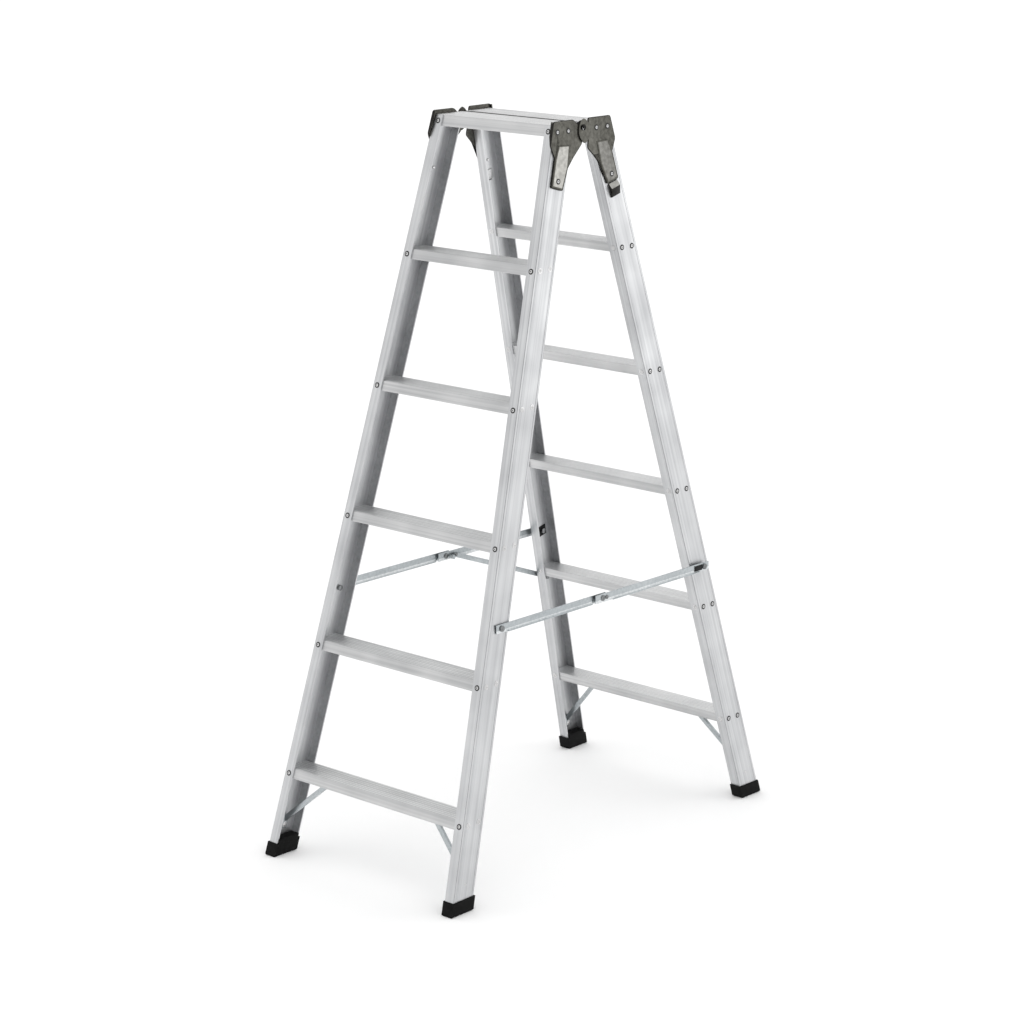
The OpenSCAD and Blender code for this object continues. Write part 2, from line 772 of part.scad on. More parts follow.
// Outer edge of a plate turned over the stile face, clear of the rivet heads
module turned_edge() translate([0, plate_thick - plate_lip - face_reach, 0]) rotate([90, 0, 0])
  linear_extrude(height = plate_thick) polygon([
    [-plate_wrap, risen(-plate_lip, plate_rise)],
    [plate_thick, risen(-plate_lip, plate_rise)],
    [plate_thick, -plate_lip_length],
    [0, -plate_lip_length],
    [-plate_wrap, plate_taper - plate_lip_length]
  ]);
module front_plate() difference() {
  web() {
    plate_on_web(plate_thick) {
      polygon(concat([
        in_section(neck_reach, plate_rise),
        in_section(shoulder_reach, shoulder_rise),
        [0, 0],
        in_section(crotch_reach, -crotch_drop),
        in_section(elbow_reach, -elbow_drop)
      ], plate_arm()));
      circle(r = knuckle_radius);
    }
    panel();
    turned_edge();
  }
  pin_hole();
  at_plate_top() rivet_hole(plate_tread_grip);
  at_plate_low() rivet_hole(panel_web_grip);
}
leaf_radius = (lug_length*lug_length + lug_width*lug_width)/(4*lug_width);
leaf_shift = leaf_radius - lug_width/2;
module lug_leaf() translate(in_section(lug_reach, -lug_drop)) rotate(lean) intersection() {
  translate([leaf_shift, 0]) circle(r = leaf_radius);
  translate([-leaf_shift, 0]) circle(r = leaf_radius);
}
lug_out = plate_thick + plate_gap;
module rear_outline() polygon(concat([
  in_section(rear_edge_reach, plate_rise),
  in_section(notch_reach, -notch_drop),
  in_section(toe_reach, -toe_drop),
  in_section(elbow_reach, -elbow_drop)
], plate_arm()));
module rear_plate() rear() difference() {
  web() {
    plate_on_web(plate_thick) rear_outline();
    translate([lug_out, 0, 0]) plate_on_web(plate_thick) lug_leaf();
    plate_on_web(lug_out + plate_thick) intersection() {
      lug_leaf();
      rear_outline();
    }
    panel();
    turned_edge();
  }
  pin_hole();
  at_plate_top() rivet_hole(plate_tread_grip);
  at_plate_low() rivet_hole(panel_web_grip);
}

// Hinge pin of the right side, along X
module hinge_pin() translate([top_width/2, 0, hinge_height]) rotate([0, 90, 0]) rotate_extrude() polygon([
  [0, lug_out + plate_thick + pin_head_gap + pin_head_height - dimple_depth],
  [dimple_radius*dimple_floor_share, lug_out + plate_thick + pin_head_gap + pin_head_height - dimple_depth],
  [dimple_radius, lug_out + plate_thick + pin_head_gap + pin_head_height],
  [pin_head_radius*pin_crown_share, lug_out + plate_thick + pin_head_gap + pin_head_height],
  [pin_head_radius, lug_out + plate_thick + pin_head_gap + pin_head_height/2],
  [pin_head_radius, lug_out + plate_thick + pin_head_gap],
  [pin_radius, lug_out + plate_thick + pin_head_gap],
  [pin_radius, -pin_head_gap],
  [pin_head_radius, -pin_head_gap],
  [pin_head_radius, -pin_head_gap - pin_foot_height],
  [0, -pin_head_gap - pin_foot_height]
]);
dimple_floor_share = 0.4;
pin_crown_share = 0.8;

// Lock tab sliding on the rear right web, held by a stem and a keeper plate
lock_start = plate_length + lock_gap;
lock_middle = lock_start + lock_length/2;
lock_back = stile_wall + lock_fit + lock_keeper_thick;
module lock_window() web() translate([-stile_flange, lock_depth - face_reach - lock_stem_width/2 - lock_fit,
  -lock_middle - lock_stem_length/2 - lock_travel - lock_fit])
  cube([
    stile_flange + over,
    lock_stem_width + lock_fit + lock_fit,
    lock_stem_length + lock_travel + lock_fit + lock_fit
  ]);
module lock_tab() rear() web() translate([0, lock_depth - face_reach, 0]) {
  rotate([90, 0, 0]) linear_extrude(height = lock_width, center = true) polygon([
    [lock_fit, -lock_start],
    [lock_base, -lock_start],
    [lock_height, -lock_start - lock_slope],
    [lock_toe, -lock_start - lock_length],
    [lock_fit, -lock_start - lock_length]
  ]);
  translate([-lock_back, -lock_stem_width/2, -lock_middle - lock_stem_length/2])
    cube([lock_back + lock_base, lock_stem_width, lock_stem_length]);
  translate([-lock_back, -lock_stem_width/2 - lock_keeper, -lock_middle - lock_stem_length/2 - lock_keeper])
    cube([
      lock_keeper_thick,
      lock_stem_width + lock_keeper + lock_keeper,
      lock_stem_length + lock_keeper + lock_keeper
    ]);
}

// Flat stay bar in a plane out along X, from its stile bolt to its middle pin; lip on the side given
module stay(out, bolt_y, mid_y, lap, lip_side) {
  way = sign(mid_y - bolt_y);
  near = min(bolt_y - way*stay_end, mid_y + way*lap);
  far = max(bolt_y - way*stay_end, mid_y + way*lap);
  difference() {
    union() {
      translate([out, near, stay_height - stay_bar/2]) cube([stay_thick, far - near, stay_bar]);
      if (lip_side != 0) {
        lip_near = min(bolt_y + way*lip_start, mid_y - way*lip_mid_start);
        lip_far = max(bolt_y + way*lip_start, mid_y - way*lip_mid_start);
        translate([lip_side > 0 ? out : out - stay_lip, lip_near, stay_height - stay_bar/2])
          cube([stay_thick + stay_lip, lip_far - lip_near, stay_thick]);
      }
    }
    translate([out, bolt_y, stay_height]) rotate([0, 90, 0])
      cylinder(r = bolt_radius + pin_fit, h = span, center = true);
    translate([out, mid_y, stay_height]) rotate([0, 90, 0])
      cylinder(r = bolt_radius + hole_fit, h = span, center = true);
  }
}
// Hole for the second rivet of a rear bar
module stud_hole(y) translate([0, y, stay_height]) rotate([0, 90, 0])
  cylinder(r = stud_radius + hole_fit, h = span, center = true);

// Bolt through a web with spacer, head outside the bar and nut inside the channel
module stay_bolt(web_x, out, backing) {
  low = web_x - stile_wall - spacer_gap - backing - nut_height;
  head = out + stay_thick + bolt_gap;
  spacer = web_x + spacer_gap;
  translate([0, 0, low]) cylinder(r = bolt_radius, h = head + bolt_head_height - low);
  translate([0, 0, low]) cylinder(r = bolt_head_radius, h = nut_height, $fn = 6);
  translate([0, 0, spacer]) cylinder(r = spacer_radius, h = out - bolt_gap - spacer);
  translate([0, 0, head]) cylinder(r = bolt_head_radius, h = bolt_head_height);
}
module front_bolt(out) at_stay_front() stay_bolt(stay_x, out, 0);
module rear_bolt(out) at_stay_rear() stay_bolt(rear_stay_x, out, backing_thick);
// Dark pad on the outer face of a rear bar beside its bolt
module stay_pad(out)
  translate([out + stay_thick, stay_rear_y - pad_offset - pad_length, stay_height - pad_height/2])
  cube([pad_thick, pad_length, pad_height]);
// Dark plate behind a rear bolt, inside the channel
module backing() difference() {
  rear() web() translate([-stile_wall - backing_thick, stay_rear_depth - face_reach - backing_side/2,
    row(stay_rear_depth, stay_height) - backing_side/2]) cube([backing_thick, backing_side, backing_side]);
  at_stay_rear() bolt_hole();
}

// Half of a split middle pin in its own bar; the front bar's half also fills the gap to the rear bar
module pin_half(out, mid_y, head_side) translate([out, mid_y, stay_height]) rotate([0, 90, 0]) {
  cylinder(r = bolt_radius, h = stay_thick);
  translate([0, 0, head_side > 0 ? stay_thick : -stud_head_height])
    cylinder(r = bolt_head_radius, h = stud_head_height);
}
module pin_spacer(out, mid_y, head_side) {
  reach = stay_lip + stay_gap - bolt_gap;
  start = head_side > 0 ? out - reach : out + stay_thick;
  translate([start, mid_y, stay_height]) rotate([0, 90, 0]) cylinder(r = spacer_radius, h = reach);
}
// Second rivet of a rear bar, flush on the side where the front bar passes
module stud(out, y, inward) translate([out, y, stay_height]) rotate([0, 90, 0])
  translate([0, 0, -inward]) cylinder(r = stud_radius, h = inward + stay_thick);
module stud_head(out, y) translate([out + stay_thick, y, stay_height]) rotate([0, 90, 0])
  cylinder(r = stud_head_radius, h = stud_head_height);
// Inward length of the left stud, to reach through the prop bar
prop_head_out = half_at(0, prop_head[1]);
stud_inward = left_rear_out - prop_head_out;

// Prop bar parallel to the rear left web, its open seat under the left stud
module prop_bar() at_prop() rotate([0, -90, 0]) translate([prop_stand, 0, 0]) difference() {
  plate_on_web(prop_thick) rotate(prop_turn) difference() {
    union() {
      circle(d = prop_width);
      translate([0, -prop_width/2]) square([prop_length, prop_width]);
      translate([prop_length, 0]) circle(d = prop_width);
      translate([prop_length, -prop_width]) square([prop_width, prop_width]);
    }
    translate([prop_length, 0]) circle(r = seat_radius);
    translate([prop_length - seat_radius, -prop_width*seat_floor_share])
      square([prop_width + prop_width, prop_width]);
  }
  rotate([0, 90, 0]) cylinder(r = bolt_radius + pin_fit, h = over, center = true);
}
seat_floor_share = 0.1;
module prop_bolt_shape() at_prop() {
  translate([0, 0, -stile_wall - nut_height]) cylinder(r = bolt_head_radius, h = nut_height, $fn = 6);
  translate([0, 0, -stile_wall - nut_height])
    cylinder(r = bolt_radius, h = stile_wall + nut_height + prop_stand + prop_thick + bolt_head_height);
  cylinder(r = spacer_radius, h = prop_stand - bolt_gap);
  translate([0, 0, prop_stand + prop_thick + bolt_gap])
    cylinder(r = bolt_head_radius, h = bolt_head_height - bolt_gap);
}

metal = "Gainsboro";
dark = "DimGray";
zinc = "LightSteelBlue";
bright = "Silver";
black = "Black";

module front_stile_left() color(metal) left() front_stile();
module front_stile_right() color(metal) front_stile();
module rear_stile_left() color(metal) difference() {
  left() rear_stile();
  at_prop() bolt_hole();
}
module rear_stile_right() color(metal) rear_stile();
module front_rung_1() color(metal) low_rung(front_rows[0]);
module front_rung_2() color(metal) rung(front_rows[1]);
module front_rung_3() color(metal) rung(front_rows[2]);
module front_rung_4() color(metal) rung(front_rows[3]);
module front_rung_5() color(metal) rung(front_rows[4]);
module rear_rung_1() color(metal) rear() low_rung(rear_rows[0]);
module rear_rung_2() color(metal) rear() rung(rear_rows[1]);
module rear_rung_3() color(metal) rear() rung(rear_rows[2]);
module rear_rung_4() color(metal) rear() rung(rear_rows[3]);
module rear_rung_5() color(metal) rear() rung(rear_rows[4]);
module front_tread() color(metal) tread();
module rear_tread() color(metal) rear() tread();
module front_boot_left() color(black) left() boot();
module front_boot_right() color(black) boot();
module rear_boot_left() color(black) rear() left() boot();
module rear_boot_right() color(black) rear() boot();
module front_strut_left() color(zinc) left() strut(front_rows[0]);
module front_strut_right() color(zinc) strut(front_rows[0]);
module rear_strut_left() color(zinc) rear() left() strut(rear_rows[0]);
module rear_strut_right() color(zinc) rear() strut(rear_rows[0]);
module front_plate_left() color(dark) left() front_plate();
module front_plate_right() color(dark) front_plate();
module rear_plate_left() color(dark) left() rear_plate();
module rear_plate_right() color(dark) rear_plate();
module hinge_pin_left() color(dark) left() hinge_pin();
module hinge_pin_right() color(dark) hinge_pin();
module front_flange_rivets() color(bright) flange_rivets(front_rows);
module rear_flange_rivets() color(bright) rear() flange_rivets(rear_rows);
module front_web_rivets() color(bright) web_rivets(front_rows);
module rear_web_rivets() color(bright) rear() web_rivets(rear_rows);
module front_plate_rivets() color(bright) plate_rivets();
module rear_plate_rivets() color(bright) rear() plate_rivets();
module front_strut_rivets() color(bright) strut_rivets(front_rows);
module rear_strut_rivets() color(bright) rear() strut_rivets(rear_rows);
module lock_tab_left() color(dark) left() lock_tab();
module lock_tab_right() color(dark) lock_tab();
module front_stay_right() color(zinc) stay(right_front_out, stay_front_y, right_mid, stay_end, 1);
module rear_stay_right() color(zinc) difference() {
  stay(right_rear_out, stay_rear_y, right_mid, stay_lap, 1);
  stud_hole(right_mid + right_stud);
}
module front_stay_left() color(zinc) left() stay(left_front_out, stay_front_y, left_mid, stay_end, -1);
module rear_stay_left() color(zinc) difference() {
  left() stay(left_rear_out, stay_rear_y, left_mid, stay_lap, 0);
  stud_hole(left_mid + left_stud);
}
module front_mid_pin_right() color(bright) {
  pin_half(right_front_out, right_mid, -1);
  pin_spacer(right_front_out, right_mid, -1);
}
module rear_mid_pin_right() color(bright) pin_half(right_rear_out, right_mid, 1);
module front_mid_pin_left() color(bright) left() {
  pin_half(left_front_out, left_mid, 1);
  pin_spacer(left_front_out, left_mid, 1);
}
module rear_mid_pin_left() color(bright) left() pin_half(left_rear_out, left_mid, -1);
module stay_stud_right() color(bright) {
  stud(right_rear_out, right_mid + right_stud, 0);
  stud_head(right_rear_out, right_mid + right_stud);
}
module stay_stud_left() color(bright) left() stud(left_rear_out, left_mid + left_stud, stud_inward);
module stay_pad_right() color(black) stay_pad(right_rear_out);
module stay_pad_left() color(black) left() stay_pad(left_rear_out);
module front_stay_bolts() color(bright) {
  front_bolt(right_front_out);
  left() front_bolt(left_front_out);
}
module rear_stay_bolts() color(bright) {
  rear_bolt(right_rear_out);
  left() rear_bolt(left_rear_out);
}
module stay_backings() color(black) both() backing();
module prop() color(zinc) prop_bar();
module prop_bolt() color(bright) prop_bolt_shape();

front_stile_left();
front_stile_right();
rear_stile_left();
rear_stile_right();
front_rung_1();
front_rung_2();
front_rung_3();
front_rung_4();
front_rung_5();
rear_rung_1();
rear_rung_2();
rear_rung_3();
rear_rung_4();
rear_rung_5();
front_tread();
rear_tread();
front_boot_left();
front_boot_right();
rear_boot_left();
rear_boot_right();
front_strut_left();
front_strut_right();
rear_strut_left();
rear_strut_right();
front_plate_left();
front_plate_right();
rear_plate_left();
rear_plate_right();
hinge_pin_left();
hinge_pin_right();
front_flange_rivets();
rear_flange_rivets();
front_web_rivets();
rear_web_rivets();
front_plate_rivets();
rear_plate_rivets();
front_strut_rivets();
rear_strut_rivets();
lock_tab_left();
lock_tab_right();
front_stay_left();
front_stay_right();
rear_stay_left();
rear_stay_right();
front_mid_pin_left();
front_mid_pin_right();
rear_mid_pin_left();
rear_mid_pin_right();
stay_stud_left();
stay_stud_right();
stay_pad_left();
stay_pad_right();
front_stay_bolts();
rear_stay_bolts();
stay_backings();
prop();
prop_bolt();
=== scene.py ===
"""Dresses a packed trestle ladder: eased edges, blind rivets, pressed hinge plates and moulded boots."""

import json
import math

import bmesh
import bpy
from bpy.props import FloatProperty, FloatVectorProperty, PointerProperty
from mathutils import Matrix, Vector

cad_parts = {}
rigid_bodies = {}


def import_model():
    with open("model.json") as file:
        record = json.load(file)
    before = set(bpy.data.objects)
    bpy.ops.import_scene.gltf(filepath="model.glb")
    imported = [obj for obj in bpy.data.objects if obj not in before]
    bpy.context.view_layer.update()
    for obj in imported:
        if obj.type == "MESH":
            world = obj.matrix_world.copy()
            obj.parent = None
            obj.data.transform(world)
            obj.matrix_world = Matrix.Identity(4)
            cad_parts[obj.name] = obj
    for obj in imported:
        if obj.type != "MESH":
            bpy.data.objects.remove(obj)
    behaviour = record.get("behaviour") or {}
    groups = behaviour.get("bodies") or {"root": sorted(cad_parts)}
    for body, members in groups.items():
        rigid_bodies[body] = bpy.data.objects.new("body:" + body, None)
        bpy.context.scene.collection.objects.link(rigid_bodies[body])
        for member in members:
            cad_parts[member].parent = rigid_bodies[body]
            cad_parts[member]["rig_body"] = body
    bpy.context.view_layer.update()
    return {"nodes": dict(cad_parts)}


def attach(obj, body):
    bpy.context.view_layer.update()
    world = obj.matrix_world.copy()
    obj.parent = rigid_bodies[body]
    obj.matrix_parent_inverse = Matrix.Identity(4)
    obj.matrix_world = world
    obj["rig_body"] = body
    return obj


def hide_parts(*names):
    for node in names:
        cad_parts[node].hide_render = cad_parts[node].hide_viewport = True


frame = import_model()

bl_info = {
    "name": "Trestle Ladder",
    "version": (1, 0, 0),
    "blender": (4, 5, 0),
    "location": "View3D > Sidebar > Trestle",
    "description": "Finishes and small pieces of a folding trestle ladder",
    "category": "Object",
}

MM = 0.001

# Places on the ladder, in millimetres and radians
HINGE_HEIGHT = 1689.5
LEAN = math.radians(15.4)
FACE_REACH = 92.4
TOP_WIDTH = 361.0
FOOT_WIDTH = 592.0
STILE_DEPTH = 65.0
STILE_FLANGE = 26.0
STILE_WALL = 2.0
MIDDLE_DEPTH = STILE_DEPTH / 2
SLOPE_LENGTH = (HINGE_HEIGHT + (FACE_REACH - MIDDLE_DEPTH) * math.sin(LEAN)) / math.cos(LEAN)
FLARE = math.atan2((FOOT_WIDTH - TOP_WIDTH) / 2, SLOPE_LENGTH)
RUNGS = 5
LOWEST_RUNG = 195.0
RUNG_PITCH = 298.0
REAR_RAISE = 19.5
FRONT_ROWS = [LOWEST_RUNG + RUNG_PITCH * level for level in range(RUNGS)]
REAR_ROWS = [height + REAR_RAISE for height in FRONT_ROWS]
RUNG_HALF = 11.75
RIB_HEIGHT = 1.0
TREAD_MIDDLE = 1687.5
TREAD_TOP = 1700.0
STRUT_REACH = 128.0
STRUT_FOOT = 64.0
STRUT_SEAT = 2.7
BOOT_WALL = 2.6
PLATE_THICK = 3.0
PANEL_HEIGHT = 1.6
STAY_THICK = 2.0
LIP_THICK = 2.0
STILES = [(front, right) for front in (True, False) for right in (True, False)]

# Rivets: places on a stile and the thickness that each kind grips, in millimetres
WEB_RIVET_SPREAD = 16.4
FLANGE_RIVET_INSET = 12.5
TREAD_RIVET_INSET = 15.0
PLATE_RIVET_DEPTHS = (11.0, 47.0)
PLATE_RIVET_DROP = 4.5
PANEL_RIVET_DEPTH = 33.0
PANEL_RIVET_DOWN = 133.0
WEB_GRIP = 4.2
FLANGE_GRIP = 4.8
TREAD_GRIP = 5.2
PLATE_GRIP = 8.5
PANEL_GRIP = 6.6
STRUT_GRIP = 4.3
FLUSH_GRIP = 4.7

# A rivet's shape: shares of the blind end's length, the head's radius and height, and the hole's radius
RIVET_SIDES = 16
SET_SHARE = 0.7
SEAM_RISE = 0.3
HEAD_PROFILE = ((0.76, 0.42), (0.68, 0.75), (0.5, 0.95))
HOLE_MOUTH = 1.1
HOLE_TAPER = 0.9
HOLE_EDGE_MM = 0.1

# Kinds of rivet that hardly show: their seam and hole take the bright rivet finish, with no painted shade
# at the seam
UNSHADED_RIVETS = (("front", "web"), ("rear", "flange"), ("front", "strut"), ("rear", "strut"))

# Limits for picking faces and edges: millimetres, a share of the hole, degrees, and parts of a unit normal
SLACK = 0.1
SEAT_SLACK = 0.01
HOLE_SLACK = 1.01
CORNER_REACH = 2.0
FLANGE_REACH = 10.0
BOOT_CORNER_REACH = 3.6
BOOT_CORNER_RISE = 2.0
GAP_EDGE_REACH = 6.0
GAP_FACE_REACH = 8.0
CREASE = 30
OUTLINE_TURN = 35
FACING = 0.9
THROUGH = 0.99
SIDE_ON = 0.3

# Merging of copied solids and shading of finished pieces
MERGE_MM = 0.001
FLAT_TURN = math.radians(0.4)
SMOOTH_TURN = math.radians(32)

# Patterns of the finishes: shares, the noise that spans two colours, and the strength and depth of the bump
LINES_SHARE = 0.6
METAL_SPAN = (0.32, 0.68)
METAL_BUMP = (0.05, 0.2 * MM)
MOULD_SPAN = (0.45, 0.68)
MOULD_BUMP = (0.5, 0.5 * MM)
MOULD_SHADE = 0.3
MOULD_GLOSS = 0.12

# Stage, in metres, watts, degrees and millimetres of lens; the camera stands where the photograph's did
FLOOR_SIZE = 160.0
LAMP_POWER = 3.0
LAMP_SIZE = 1.2
LAMP_PLACE = (1.95, 1.9, 1.4)
LAMP_AIM = (0.2, -0.05, 1.4)
SKY_LIGHT = 1.1
SKY_SEEN = 1.0
CAMERA_PLACE = (4.3908, -4.9284, 2.4293)
CAMERA_TURN = (75.91, 0.0, 41.872)
CAMERA_LENS = 101.73
CAMERA_SENSOR = 36.0
CAMERA_REACH = 300.0


def depth_y(depth, height):
    """Y of a place that lies so deep behind the front face at a height above the floor."""
    face = (FACE_REACH - (height - HINGE_HEIGHT) * math.sin(LEAN)) / math.cos(LEAN)
    return depth / math.cos(LEAN) - face


def along(depth, height):
    """Distance of that place from the hinge axis, measured along the section."""
    return depth_y(depth, height) * math.sin(LEAN) + (height - HINGE_HEIGHT) * math.cos(LEAN)


def row(depth, height):
    """The same distance along a stile's web."""
    return along(depth, height) / math.cos(FLARE)


def risen(depth, rise):
    """Distance along a web to a place so far above the hinge axis."""
    return (rise + (depth - FACE_REACH) * math.sin(LEAN)) / math.cos(LEAN)


def mirrored(front, right):
    """Turns a place of the front right quarter into one of another quarter."""
    return Matrix.Diagonal((1 if right else -1, 1 if front else -1, 1, 1))


def stile_frame(front, right):
    """Places a stile's own frame: X 0 on the web's outer face, Z along the stile, in metres."""
    section = Matrix.Translation((0, 0, HINGE_HEIGHT * MM)) @ Matrix.Rotation(-LEAN, 4, "X")
    web = Matrix.Translation((TOP_WIDTH / 2 * MM, 0, 0)) @ Matrix.Rotation(-FLARE, 4, "Y")
    return mirrored(front, right) @ section @ web


def side_words(front, right):
    """Name parts of one stile."""
    return "front" if front else "rear", "right" if right else "left"


def linear(code):
    """The linear colour of an sRGB hex code such as #c8c8c8."""
    made = []
    for place in (1, 3, 5):
        share = int(code[place:place + 2], 16) / 255
        made.append(share / 12.92 if share <= 0.04045 else ((share + 0.055) / 1.055) ** 2.4)
    return (*made, 1.0)


def colour(title, words, code):
    """A colour setting with its default written as a hex code."""
    return FloatVectorProperty(
        name=title, description=words, subtype="COLOR", size=4, min=0, max=1, default=linear(code)
    )


def length(title, words, size_mm):
    """A length setting with its default written in millimetres."""
    return FloatProperty(
        name=title, description=words, subtype="DISTANCE", unit="LENGTH", default=size_mm * MM
    )


class TrestleSizes(bpy.types.PropertyGroup):
    """Sizes of the small pieces, the eased edges and the finishes' patterns."""

    stile_edge: length("Stile edge", "Rounding of the stiles' long edges", 0.9)
    step_edge: length("Step edge", "Rounding of the rungs' and treads' edges and ribs", 0.35)
    plate_rim: length("Plate rim", "Painted shade along the hinge plates' outline", 1.2)
    plate_corner: length("Plate corner", "Rounding of the hinge plates' outline", 5.0)
    panel_slope: length("Panel slope", "Painted shade along the border of a raised panel", 3.0)
    plate_edge: length("Plate edge", "Rounding of the hinge plates' other pressed edges", 0.7)
    gap_edge: length("Gap edge", "Rounding of the treads along the gap between them, painted as shade", 2.0)
    bar_edge: length("Bar edge", "Rounding of the stays' and the prop's edges", 0.45)
    lip_roll: length("Lip roll", "Inner radius between a stay and its lip", 3.8)
    lip_strip: length("Lip strip", "Height of the painted highlight along a stay's lower edge", 7.0)
    strut_edge: length("Strut edge", "Rounding of the struts", 1.0)
    bolt_edge: length("Bolt edge", "Rounding of bolt and pin heads", 0.8)
    pin_ring: length("Pin ring", "Painted shade ring round the painted highlight of a hinge pin", 3.2)
    boot_corner: length("Boot corner", "Rounding of the boots' upright corners", 2.4)
    boot_sole: length("Boot sole", "Rounding of the boots round the sole", 3.2)
    boot_rim: length("Boot rim", "Rounding of the boots' other edges", 0.5)
    rivet_radius: length("Rivet radius", "Radius of a blind rivet's head", 5.0)
    rivet_height: length("Rivet height", "Height of a blind rivet's head", 1.6)
    rivet_seam: length("Rivet seam", "Width of the painted shade round a rivet", 1.6)
    shank_radius: length("Shank radius", "Radius of a rivet's shank", 2.4)
    set_radius: length("Set radius", "Radius of a rivet's blind end", 3.3)
    set_length: length("Set length", "Length of a rivet's blind end", 3.0)
    mandrel_radius: length("Mandrel radius", "Radius of the hole in a rivet's head", 1.4)
    mandrel_depth: length("Mandrel depth", "Depth of the hole in a rivet's head", 0.7)
    die_line: length("Die line", "Spacing of the drawn lines along an extrusion", 6.0)
    die_length: length("Die line length", "Length over which a drawn line stays the same", 900.0)
    patch: length("Patch", "Size of the cloudy patches on handled metal", 110.0)
    mottle: length("Mottle", "Size of the small clouds in a plated coat", 9.0)
    spangle: length("Spangle", "Size of the flecks in a zinc coat", 7.0)
    grit: length("Grit", "Grain of moulded rubber, drawn coarser than it is so that it shows", 4.0)


class TrestleColours(bpy.types.PropertyGroup):
    """Colours of the finishes."""

    mill: colour("Mill aluminium", "Extruded aluminium as it leaves the die", "#d8d9da")
    mill_dull: colour("Dull aluminium", "Aluminium where the skin is dull", "#b8b9bb")
    # Painted highlight along the stiles' edges and on the rear rungs' ribs
    edge: colour("Edge highlight", "Aluminium edges painted pale as a highlight", "#e8e8e8")
    # Painted shade on the flanges' inner faces
    inside: colour("Channel inside", "Inner faces of the flanges, painted darker as shade", "#bdbec0")
    inside_dull: colour("Dull channel inside", "Inner faces where the painted shade is deeper", "#a6a7a9")
    # Painted shade along the channels' outer corners
    corner: colour("Channel corner", "Outer corners of the channels", "#adaeb0")
    corner_dull: colour("Dull corner", "Outer corners where the painted shade is deeper", "#98999b")
    step: colour("Step aluminium", "Ribbed steps", "#d5d5d5")
    step_dull: colour("Dull step", "Steps where they are trodden", "#b5b6b7")
    # Painted shade in the grooves between the ribs
    groove: colour("Groove", "Grooves between the ribs, painted grey as shade", "#c9cacb")
    groove_dull: colour("Dull groove", "Grooves where the painted shade is deeper", "#b6b7b8")
    # Painted highlight on the rungs' ribs
    rib: colour("Rib", "Ribs of the rungs, painted pale as a highlight", "#dddede")
    rib_dull: colour("Dull rib", "Ribs where the painted highlight is weaker", "#cacbcb")
    # Painted highlight on the top treads
    tread: colour("Tread aluminium", "Top treads, painted pale as a highlight", "#f4f4f4")
    tread_dull: colour("Dull tread", "Top treads where the painted highlight is weaker", "#e6e6e6")
    # Painted shade in the gap between the treads
    cut: colour("Gap shade", "Tread faces in the gap, painted dark as shade", "#6a6a6a")
    cut_dull: colour("Deeper gap shade", "Gap faces where the painted shade is deeper", "#4c4c4c")
    plate: colour("Plated steel", "Dark nickel coat of the hinge plates", "#706f69")
    plate_dull: colour("Dull plate", "Hinge plate where the coat is thick", "#4a4944")
    # Painted shade along the plates' pressed edges
    plate_edge: colour("Plate edge", "Pressed edges of the plates", "#191817")
    plate_edge_dull: colour("Dull plate edge", "Pressed edges where the painted shade is lighter", "#383735")
    # Painted highlight on the raised panels, weaker on the rear ones
    panel: colour("Raised panel", "Front panels, painted paler than their plates as a highlight", "#bdbcb7")
    panel_dull: colour("Dull panel", "Front panels where the painted highlight is weaker", "#959490")
    rear_panel: colour("Rear panel", "Rear panels, with a weaker painted highlight than the front ones", "#8e8d89")
    rear_panel_dull: colour("Dull rear panel", "Rear panels where the painted highlight is weakest", "#6b6a66")
    zinc: colour("Zinc", "Bright zinc coat of the stays", "#c0c5c7")
    zinc_dull: colour("Dull zinc", "Zinc fleck that reflects less", "#a5abae")
    # Painted highlight on the stays' rolled lips
    lip: colour("Zinc lip", "Rolled lips of the stays, painted bright as a highlight", "#eaeced")
    rivet: colour("Rivet", "Bright blind rivets", "#dedede")
    rivet_dull: colour("Dull rivet", "Rivet where it was set", "#bcbcbc")
    # Painted shade round the rivet heads
    rim: colour("Rivet rim", "Seam round a rivet, painted dark as shade", "#2c2c2c")
    mandrel: colour("Mandrel", "Steel stub left in a rivet", "#4c4c4c")
    bolt: colour("Bolt", "Plated bolt and pin heads", "#989a9b")
    bolt_dull: colour("Dull bolt", "Bolt heads where the coat is dull", "#5d5f60")
    rubber: colour("Rubber", "Moulded boots", "#171717")
    plastic: colour("Black plastic", "Pads and backing pieces", "#1a1a1b")


def add_node(tree, kind, inputs=None, **settings):
    """Adds one shader node and fills or links its inputs; a node among them gives its first output."""
    made = tree.nodes.new(kind)
    for name, value in settings.items():
        setattr(made, name, value)
    for socket, value in (inputs or {}).items():
        if isinstance(value, bpy.types.Node):
            value = value.outputs[0]
        if isinstance(value, bpy.types.NodeSocket):
            tree.links.new(value, made.inputs[socket])
        else:
            made.inputs[socket].default_value = value
    return made


def new_material(name):
    """An empty node material and its output node."""
    made = bpy.data.materials.new(name)
    made.use_nodes = True
    made.node_tree.nodes.clear()
    output = add_node(made.node_tree, "ShaderNodeOutputMaterial")
    return made, made.node_tree, output


